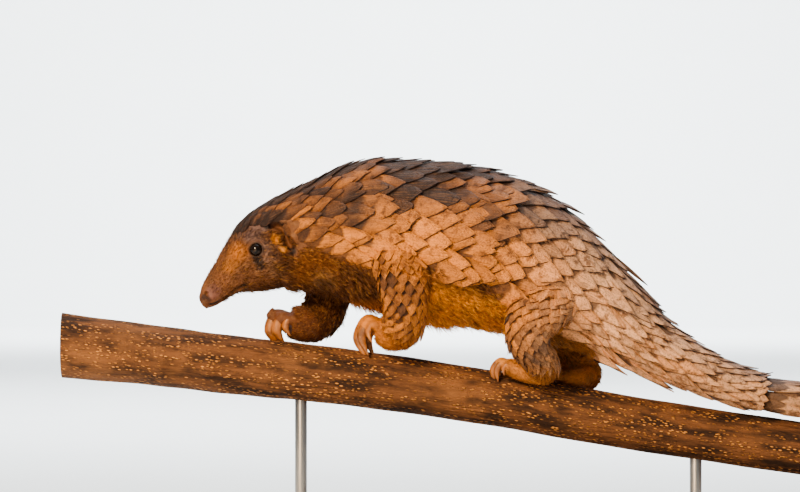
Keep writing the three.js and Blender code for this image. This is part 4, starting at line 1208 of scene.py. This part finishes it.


# %% [markdown]
# Horn first. One colour on all these scales would look like plastic, and a picture wrapped on
# them would repeat. Each plate has its own small map from root to tip and a random tone, so its
# streaks, rings, blotches and worn rim are worked out for it alone. The ground colour changes
# with the height on the flank and along the animal; its darker top is partly painted shade, with
# patches of painted dappled shade.

# %% Horn of the scales
horn = finish_for("horn of the scales", 0.5, 0.4)
place = here_on_it()
plate_uv = put("UVMap", uv_map="plate").outputs[0]
tone, down = kept("tone"), kept("down")
across, length = put("SeparateXYZ", {0: plate_uv}).outputs[:2]
# The split between mauve and orange follows how far down the body a scale sits, large patches of painted
# dappled shade, and the scale's own tone.
dappled_shade = noise(place, 17.0, 3.0)
painted_shade_and_tone = plus(down, times(minus(dappled_shade, 0.5), 0.75))
painted_shade_and_tone = plus(painted_shade_and_tone, times(minus(tone, 0.5), 0.22))
neck = span(put("SeparateXYZ", {0: place}).outputs[0], -0.125, -0.155, 0.0, 0.06)
warm = span(plus(painted_shade_and_tone, neck), 0.19, 0.56)
# Cool mauve brown above, warm orange tan below, pale pinkish tan on the rump and tail. The dark
# mauve above is partly the horn's colour and partly painted shade on the back, away from the low sun.
colour = mix(warm, paint(0.038, 0.019, 0.014), paint(0.7, 0.25, 0.056))
pink = span(put("SeparateXYZ", {0: place}).outputs[0], -0.03, 0.07)
pale = mix(span(painted_shade_and_tone, 0.05, 0.3), paint(0.5, 0.29, 0.2), paint(1.0, 0.56, 0.32))
colour = mix(times(pink, 0.85), colour, pale)
# Each scale has a shade of its own, streaks along it, blotches and grit
turned = calc("FRACT", times(tone, 7.31))
colour = stain(colour, span(turned, 0.62, 1.0, 0.0, 0.55), 0.5, 0.03, 0.014, 0.01)
# Here and below, warm also picks a darker version of each colour under the back's painted shade.
glow = mix(warm, paint(0.13, 0.066, 0.045), paint(0.72, 0.26, 0.062))
colour = mix(span(turned, 0.3, 0.0, 0.0, 0.4), colour, glow)
drawn_out = scaled(plate_uv, 26.0, 1.4, 1.0)
own_place = {"Vector": drawn_out, "W": times(tone, 40.0), "Scale": 1.0, "Detail": 3.0}
streaks = put("TexNoise", own_place, noise_dimensions="4D").outputs[0]
colour = stain(colour, span(streaks, 0.48, 0.66, 0.0, 0.32), 0.5, 0.7, 0.3, 0.09)
colour = stain(colour, span(streaks, 0.48, 0.34, 0.0, 0.38), 0.6, 0.02, 0.01, 0.007)
blotch = noise(place, 140.0, 4.0, 0.65)
stained = mix(warm, paint(0.03, 0.016, 0.012), paint(0.16, 0.05, 0.013))
colour = mix(span(blotch, 0.5, 0.68, 0.0, 0.72), colour, stained)
grit = noise(place, 620.0, 4.0, 0.7)
colour = stain(colour, span(grit, 0.5, 0.62, 0.0, 0.62), 0.6, 0.03, 0.013, 0.008)
# Worn pale rims, a dark lower rim of painted shade, and painted shadow where the next scale covers this one
sideways = calc("ABSOLUTE", minus(times(across, 2.0), 1.0))
edge = calc("MAXIMUM", span(sideways, 0.8, 0.98), span(length, 0.9, 1.0))
ragged = times(edge, span(blotch, 0.35, 0.6, 0.2, 0.7))
colour = mix(times(ragged, 0.55), colour, mix(warm, paint(0.2, 0.11, 0.08), paint(0.8, 0.3, 0.07)))
lower_rim_shade = times(span(length, 0.95, 0.99), span(across, 0.48, 0.6))
colour = mix(times(lower_rim_shade, 0.9), colour, paint(0.02, 0.009, 0.006))
above = times(calc("MAXIMUM", minus(0.5, across), 0.0), 0.62)
colour = mix(span(minus(length, above), 0.53, 0.42, 0.0, 0.75), colour, paint(0.022, 0.01, 0.007))
give("Base Color", colour)
give("Roughness", span(blotch, 0.3, 0.7, 0.4, 0.62))
reach = plus(length, times(calc("POWER", sideways, 2.0), 0.32))
rings = calc("SINE", times(plus(reach, times(streaks, 0.02)), 95.0))
rings = times(rings, span(length, 0.5, 0.9, 0.1, 0.5))
first = bump(plus(streaks, times(rings, 0.25)), 0.0016, 0.9)
bump(plus(blotch, times(grit, 0.5)), 0.0012, 0.8, after=first)

print("horn:", len(tree.nodes), "nodes")

# %% [markdown]
# The face, throat and belly are pale and orange in patches with soft, ragged borders. They could
# be painted on skin and hair one by one, but the two would not agree. Here each mark is a spot
# with a place on the animal itself, and both finishes read the same list. A few spots are painted
# shade: under the throat, in the armpit and on the far foreleg and its paw.

# %% Markings shared by skin and hair
def on_skin(x, z):
    """The point of the left side seen at x and z, in millimetres."""
    hit = skin_tree.ray_cast(Vector((x, FROM_LEFT, z)) * MM, TO_RIGHT)[0]
    return (x * MM, abs(hit.y) if hit else 0.0, z * MM)


# Place on the left side, radius in millimetres, share of it in full colour, and colour. The later
# ones lie over the earlier: belly, chest, muzzle, cheek, throat, nose, ear lobe, and the eye's ring.
# Four spots are painted shade: on the far foreleg, in the armpit, under the throat by the far
# foreleg, and on the far forepaw.
MARKS = [
    ((-60, 176), 46, 0.6, (1.0, 0.4, 0.07)), ((-20, 168), 44, 0.8, (1.0, 0.42, 0.075)),
    ((40, 165), 44, 0.7, (0.6, 0.24, 0.06)), ((-88, 195), 26, 0.5, (0.6, 0.19, 0.035)),
    # (-158, 186) is painted shade on the far foreleg.
    ((-156, 208), 22, 0.5, (0.36, 0.13, 0.035)), ((-158, 186), 20, 0.6, (0.13, 0.042, 0.014)),
    ((-214, 250), 24, 0.5, (0.1, 0.052, 0.04)), ((-190, 258), 20, 0.3, (0.07, 0.036, 0.028)),
    ((-217, 210), 20, 0.45, (0.15, 0.055, 0.018)), ((-216, 224), 12, 0.1, (0.48, 0.16, 0.03)),
    ((-222, 214), 10, 0.1, (0.42, 0.15, 0.03)), ((-228, 202), 11, 0.5, (0.2, 0.075, 0.028)),
    ((-226, 231), 8, 0.2, (0.12, 0.05, 0.025)), ((-203, 244), 17, 0.55, (0.14, 0.075, 0.06)),
    ((-191, 221), 12, 0.45, (0.19, 0.095, 0.06)), ((-187, 209), 11, 0.3, (0.16, 0.07, 0.03)),
    ((-194, 229), 9, 0.2, (0.2, 0.115, 0.09)), ((-200.5, 218.5), 6.5, 0.4, (0.016, 0.007, 0.005)),
    ((-198, 212.5), 6.5, 0.3, (0.024, 0.01, 0.007)), ((-150, 203), 15, 0.3, (0.42, 0.2, 0.085)),
    # (-113, 190) is painted shade in the armpit, (-151, 196) painted shade under the throat by the far
    # foreleg.
    ((-113, 190), 15, 0.4, (0.09, 0.03, 0.011)), ((-151, 196), 12, 0.2, (0.05, 0.02, 0.01)),
    # (-184, 178) is painted shade on the far forepaw.
    ((-184, 178), 17, 0.6, (0.15, 0.05, 0.016)), ((-211, 205), 7, 0.3, (0.13, 0.045, 0.014)),
    ((-234, 194.6), 9, 0.55, (0.2, 0.08, 0.055)), ((-240.5, 186.5), 7.5, 0.55, (0.035, 0.017, 0.013)),
    ((-186, 234), 6, 0.5, (0.7, 0.27, 0.05)), ((-181, 226.5), 5, 0.5, (0.6, 0.24, 0.05)),
    ((-201.4, 226), 8.6, 0.74, (0.045, 0.024, 0.018)), ((-201.4, 226), 6.2, 0.9, (0.22, 0.15, 0.12)),
]


RAGGED = 0.003
MARK_SHIFT = 0.0015


def markings(base):
    """The colours of skin and fur over a base colour: the marks, the paws with painted shade on the far
    forepaw, and painted shade in the ear hollows and along the mouth line.
    """
    place = here_on_it()
    wobble = put("TexNoise", {"Vector": place, "Scale": 110.0, "Detail": 2.0}).outputs["Color"]
    ragged = {0: wobble, 1: (RAGGED, RAGGED, RAGGED), 2: place}
    moved = put("VectorMath", ragged, operation="MULTIPLY_ADD").outputs[0]
    p = put("SeparateXYZ", {0: moved})
    half = put("CombineXYZ", {0: p.outputs[0], 1: calc("ABSOLUTE", p.outputs[1]), 2: p.outputs[2]}).outputs[0]
    colour = base
    for (x, z), radius, hard, rgb in MARKS:
        spot = tuple(c + MARK_SHIFT for c in on_skin(x, z))
        d = put("VectorMath", {0: half, 1: spot}, operation="DISTANCE").outputs["Value"]
        colour = mix(span(d, radius * MM, radius * hard * MM), colour, paint(*rgb))
    # Forepaws are orange, the far one darker with painted shade. The limits lie just above the paws.
    front = times(span(p.outputs[2], 0.194, 0.182), span(p.outputs[0], -0.07, -0.09))
    far = span(p.outputs[0], -0.125, -0.135)
    colour = mix(front, colour, mix(far, paint(0.62, 0.22, 0.05), paint(0.15, 0.05, 0.016)))
    hind = times(span(p.outputs[2], 0.15, 0.143), span(p.outputs[0], -0.06, -0.04))
    colour = mix(hind, colour, paint(0.6, 0.24, 0.07))
    clumps = noise(place, 75.0, 3.0, 0.6)
    colour = stain(colour, span(clumps, 0.52, 0.7, 0.0, 0.5), 0.65, 0.02, 0.008, 0.005)
    # Last, painted shade in the ear hollows and along the mouth line.
    return mix(times(kept("dark"), 0.93), colour, paint(0.012, 0.005, 0.004)), place


print("marks:", len(MARKS))

# %% [markdown]
# Skin and hair. The finest hair is streaks in the skin's own finish, which run with the lie of
# the coat, and the blades over it are darker at the root and paler at the tip.

# %% Skin
hide = finish_for("skin", 0.62, 0.35)
lie = kept("lie", "Vector")
colour, place = markings(paint(0.18, 0.07, 0.026))
hairy = noise(scaled(lie, 260.0, 1900.0, 1900.0), 1.0, 3.0, 0.6)
pores = put("TexVoronoi", {"Vector": place, "Scale": 900.0}).outputs["Distance"]
mottled = noise(place, 190.0, 4.0)
colour = stain(colour, span(hairy, 0.35, 0.7, 0.0, 0.5), 0.55, 0.04, 0.022, 0.015)
colour = stain(colour, span(mottled, 0.5, 0.8, 0.0, 0.4), 0.4, 0.6, 0.36, 0.2)
give("Base Color", colour)
give("Roughness", span(mottled, 0.3, 0.7, 0.5, 0.72))
folds = noise(scaled(lie, 420.0, 120.0, 120.0), 1.0, 2.0, 0.5, Distortion=0.6)
first = bump(folds, 0.0009, 0.5)
second = bump(hairy, 0.0006, 0.8, after=first)
bump(pores, 0.0003, 0.35, after=second)

# %% Hair
hair = finish_for("hair", 0.5, 0.3)
tip, tone = kept("tip"), kept("tone")
colour, place = markings(paint(0.2, 0.078, 0.03))
colour = stain(colour, span(tip, 0.0, 1.0, 0.6, 0.0), 0.7, 0.03, 0.012, 0.007)
colour = stain(colour, span(tone, 0.6, 1.0, 0.0, 0.6), 0.45, 0.95, 0.45, 0.13)
colour = mix(span(tone, 0.4, 0.0, 0.0, 0.35), colour, paint(0.07, 0.03, 0.012))
fine = noise(place, 1500.0, 2.0)
give("Base Color", colour)
bump(fine, 0.0002, 0.5)

# %% [markdown]
# The eye is nearly black and wet, so a thin clear coat lies over a faint iris. The horn of the
# claws is streaked lengthwise, with darker clouds, and is worn smoother than the scales.

# %% Eye and claws
glass = finish_for("eye", 0.06, 0.22)
place = here_on_it()
iris = noise(place, 420.0, 3.0)
give("Base Color", mix(span(iris, 0.4, 0.7), paint(0.006, 0.004, 0.003), paint(0.028, 0.014, 0.008)))
give("Coat Weight", 0.12)
give("Coat Roughness", 0.04)

nail = finish_for("claw horn", 0.38, 0.5)
place = here_on_it()
grain = noise(scaled(place, 260.0, 900.0, 260.0), 1.0, 3.0)
cloud = noise(place, 120.0, 3.0)
colour = mix(span(cloud, 0.4, 0.65), paint(0.36, 0.13, 0.036), paint(0.16, 0.058, 0.02))
colour = mix(span(grain, 0.5, 0.8, 0.0, 0.5), colour, paint(0.6, 0.28, 0.1))
give("Base Color", colour)
give("Roughness", span(cloud, 0.3, 0.7, 0.28, 0.5))
bump(grain, 0.0004, 0.5)

# %% [markdown]
# Bark is furrowed lengthwise and set with rows of pale pores, and its sawn ends show rings. The
# stand is kept quiet beside it: dark oiled wood and brushed steel.

# %% Bark, wood and steel
bark = finish_for("bark", 0.8, 0.3)
lie = kept("lie", "Vector")
place = here_on_it()
plates = noise(scaled(lie, 30.0, 130.0, 130.0), 1.0, 4.0, 0.6)
cells = put("TexVoronoi", {"Vector": scaled(lie, 230.0, 520.0, 520.0), "Scale": 1.0, "Randomness": 0.85})
dots = span(cells.outputs["Distance"], 0.42, 0.22)
rows = noise(scaled(lie, 14.0, 210.0, 210.0), 1.0, 2.0)
dots = times(dots, span(rows, 0.4, 0.56))
colour = mix(span(plates, 0.35, 0.65), paint(0.042, 0.019, 0.01), paint(0.2, 0.083, 0.034))
colour = mix(dots, colour, paint(0.78, 0.34, 0.11))
worn = noise(place, 26.0, 4.0)
colour = mix(span(worn, 0.5, 0.75, 0.0, 0.45), colour, paint(0.36, 0.155, 0.06))
give("Base Color", colour)
grooves = noise(scaled(lie, 60.0, 480.0, 480.0), 1.0, 4.0, 0.6)
first = bump(plus(grooves, times(dots, 0.8)), 0.0032, 0.9)
bump(noise(place, 1300.0, 3.0), 0.0004, 0.5, after=first)

sawn = finish_for("sawn wood", 0.7, 0.3)
lie = kept("lie", "Vector")
p = put("SeparateXYZ", {0: lie})
across = put("CombineXYZ", {1: p.outputs[1], 2: p.outputs[2]}).outputs[0]
from_pith = put("VectorMath", {0: across}, operation="LENGTH").outputs["Value"]
place = here_on_it()
uneven = noise(place, 160.0, 2.0)
ring = calc("SINE", times(plus(from_pith, times(uneven, 0.003)), 2600.0))
colour = mix(span(ring, -1.0, 1.0), paint(0.3, 0.18, 0.085), paint(0.55, 0.38, 0.21))
give("Base Color", colour)
bump(plus(ring, noise(place, 900.0, 2.0)), 0.0003, 0.5)

walnut = finish_for("dark oiled wood", 0.36, 0.5)
place = here_on_it()
grain = noise(scaled(place, 9.0, 130.0, 60.0), 1.0, 5.0, 0.6, Distortion=0.4)
pore = noise(scaled(place, 60.0, 1400.0, 900.0), 1.0, 2.0)
colour = mix(span(grain, 0.3, 0.7), paint(0.05, 0.026, 0.015), paint(0.13, 0.07, 0.038))
colour = mix(span(pore, 0.55, 0.75, 0.0, 0.6), colour, paint(0.025, 0.013, 0.008))
give("Base Color", colour)
give("Roughness", span(grain, 0.3, 0.7, 0.28, 0.44))
bump(pore, 0.0002, 0.4)

steel = finish_for("brushed steel", 0.32, 0.5)
place = here_on_it()
brushed = noise(scaled(place, 900.0, 900.0, 14.0), 1.0, 3.0)
give("Metallic", 1.0)
give("Base Color", mix(brushed, paint(0.36, 0.33, 0.3), paint(0.5, 0.47, 0.44)))
give("Roughness", span(brushed, 0.2, 0.8, 0.24, 0.42))
bump(brushed, 0.0001, 0.3)

for objects, *finishes in (
        (scale_pieces, horn), ([skin], hide), (coat, hair), (eye_pieces, glass), (claw_pieces, nail),
        (rods, steel), ([base], walnut), ([perch], bark, sawn)):
    dress(objects, *finishes)
FACES_ALONG, NEAR_END = 0.96, 0.34
for polygon in perch.data.polygons:
    if abs(polygon.normal.x) > FACES_ALONG and abs(polygon.center.x) > NEAR_END:
        polygon.material_index = 1
print("finishes given, shown through", bpy.context.scene.view_settings.view_transform)

# %% [markdown]
# Nothing turns or slides on this model, so every piece rides on its one body. The skin stands for
# all the solids of flesh, as it was melted from the same spines. Eyes, branch, base and rods
# stand for their own, and scales, claws, fur and collars are added to them.

# %% Pieces and the solids they stand for
flesh = [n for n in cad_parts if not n.startswith(("eye", "perch", "stand"))]
for o in [skin] + eye_pieces + claw_pieces + scale_pieces + coat + rods + [base, perch]:
    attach(o, "root")
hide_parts(*flesh)
for o in eye_pieces + [perch, base]:
    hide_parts(o.name.split(".")[0])
for o in rods:
    if "rod" in o.name:
        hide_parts(o.name.split(".")[0])
print("solids replaced:", len(flesh))

# %% [markdown]
# The setting is a plain pale floor that curves up into a pale wall. A warm key light stands
# at the head's side, as the evening sun did, a wide cool light above stands for the sky, and a
# low glow softens the shadows on the near side. Two more lights keep floor and wall bright. The
# camera stands far off with a long lens, so that the side view is nearly flat.

# %% Floor and wall
# The sheet is 2 by 2 at first. It starts at FRONT, lies flat for FLAT, and then bends up.
HALF_WIDTH, FRONT, RUN, FLAT, BEND = 9.0, -7.0, 20.8, 16.4, 1.2
floor = made("floor_and_wall", bpy.ops.mesh.primitive_grid_add, x_subdivisions=2, y_subdivisions=100, size=2)
co = points_of(floor)
run = (co[:, 1] + 1) / 2 * RUN
bend = np.clip((run - FLAT) / (BEND * math.pi / 2), 0, 1) * math.pi / 2
up = np.maximum(run - FLAT - BEND * math.pi / 2, 0)
y = FRONT + np.minimum(run, FLAT) + BEND * np.sin(bend)
move_points(floor, np.column_stack([co[:, 0] * HALF_WIDTH, y, BEND * (1 - np.cos(bend)) + up]))
bpy.ops.object.shade_smooth()
paper = finish_for("pale paper", 0.9, 0.2)
place = here_on_it()
give("Base Color", mix(noise(place, 3.0), paint(0.84, 0.86, 0.86), paint(0.88, 0.9, 0.9)))
bump(noise(place, 400.0), 0.0004, 0.2)
dress([floor], paper)
floor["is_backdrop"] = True


# %% Lights and camera
def area_light(name, where, at, size, power, colour):
    """A square light that faces a place."""
    lamp = made(name, bpy.ops.object.light_add, type="AREA", location=where)
    lamp.data.size, lamp.data.energy, lamp.data.color = size, power, colour
    lamp.rotation_mode = "QUATERNION"
    lamp.rotation_quaternion = (Vector(at) - Vector(where)).to_track_quat("-Z", "Y")


CENTRE = (-0.09, 0.0, 0.2)
area_light("key, warm", (-1.0, -1.55, 1.3), CENTRE, 0.36, 58, (1.0, 0.8, 0.56))
area_light("sky above", (0.2, 0.4, 2.0), CENTRE, 1.6, 23, (0.84, 0.92, 1.0))
area_light("low evening glow", (-0.7, -1.6, 0.16), CENTRE, 0.9, 13, (1.0, 0.74, 0.46))
area_light("floor wash", (0.0, 2.4, 3.0), (0.0, 4.8, 0.6), 3.0, 330, (0.95, 0.98, 1.0))
area_light("wall wash", (0.0, 8.0, 3.2), (0.0, 10.6, 0.5), 4.0, 420, (0.95, 0.98, 1.0))
world = bpy.data.worlds.new("soft room")
bpy.context.scene.world = world
world.use_nodes = True
room = world.node_tree.nodes["Background"].inputs
room["Color"].default_value, room["Strength"].default_value = paint(0.8, 0.87, 0.93), 0.32

CAMERA_X, CAMERA_Z, FRAME_WIDTH = -93.75 * MM, 228.5 * MM, 0.6
LENS, SENSOR = 200.0, 36.0
seen_from = (CAMERA_X, -FRAME_WIDTH * LENS / SENSOR, CAMERA_Z)
deselect()
bpy.ops.object.camera_add(location=seen_from, rotation=(math.pi / 2, 0, 0))
camera = bpy.context.active_object
camera.data.lens, camera.data.sensor_width = LENS, SENSOR
camera.data.clip_end = 30
camera.data.dof.use_dof = False
bpy.context.scene.camera = camera

bpy.context.scene.view_settings.look = "AgX - Medium High Contrast"

# %% Sizes and finish
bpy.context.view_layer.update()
total = sum(len(p.vertices) - 2 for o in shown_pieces() for p in o.data.polygons)
print("triangles:", total)
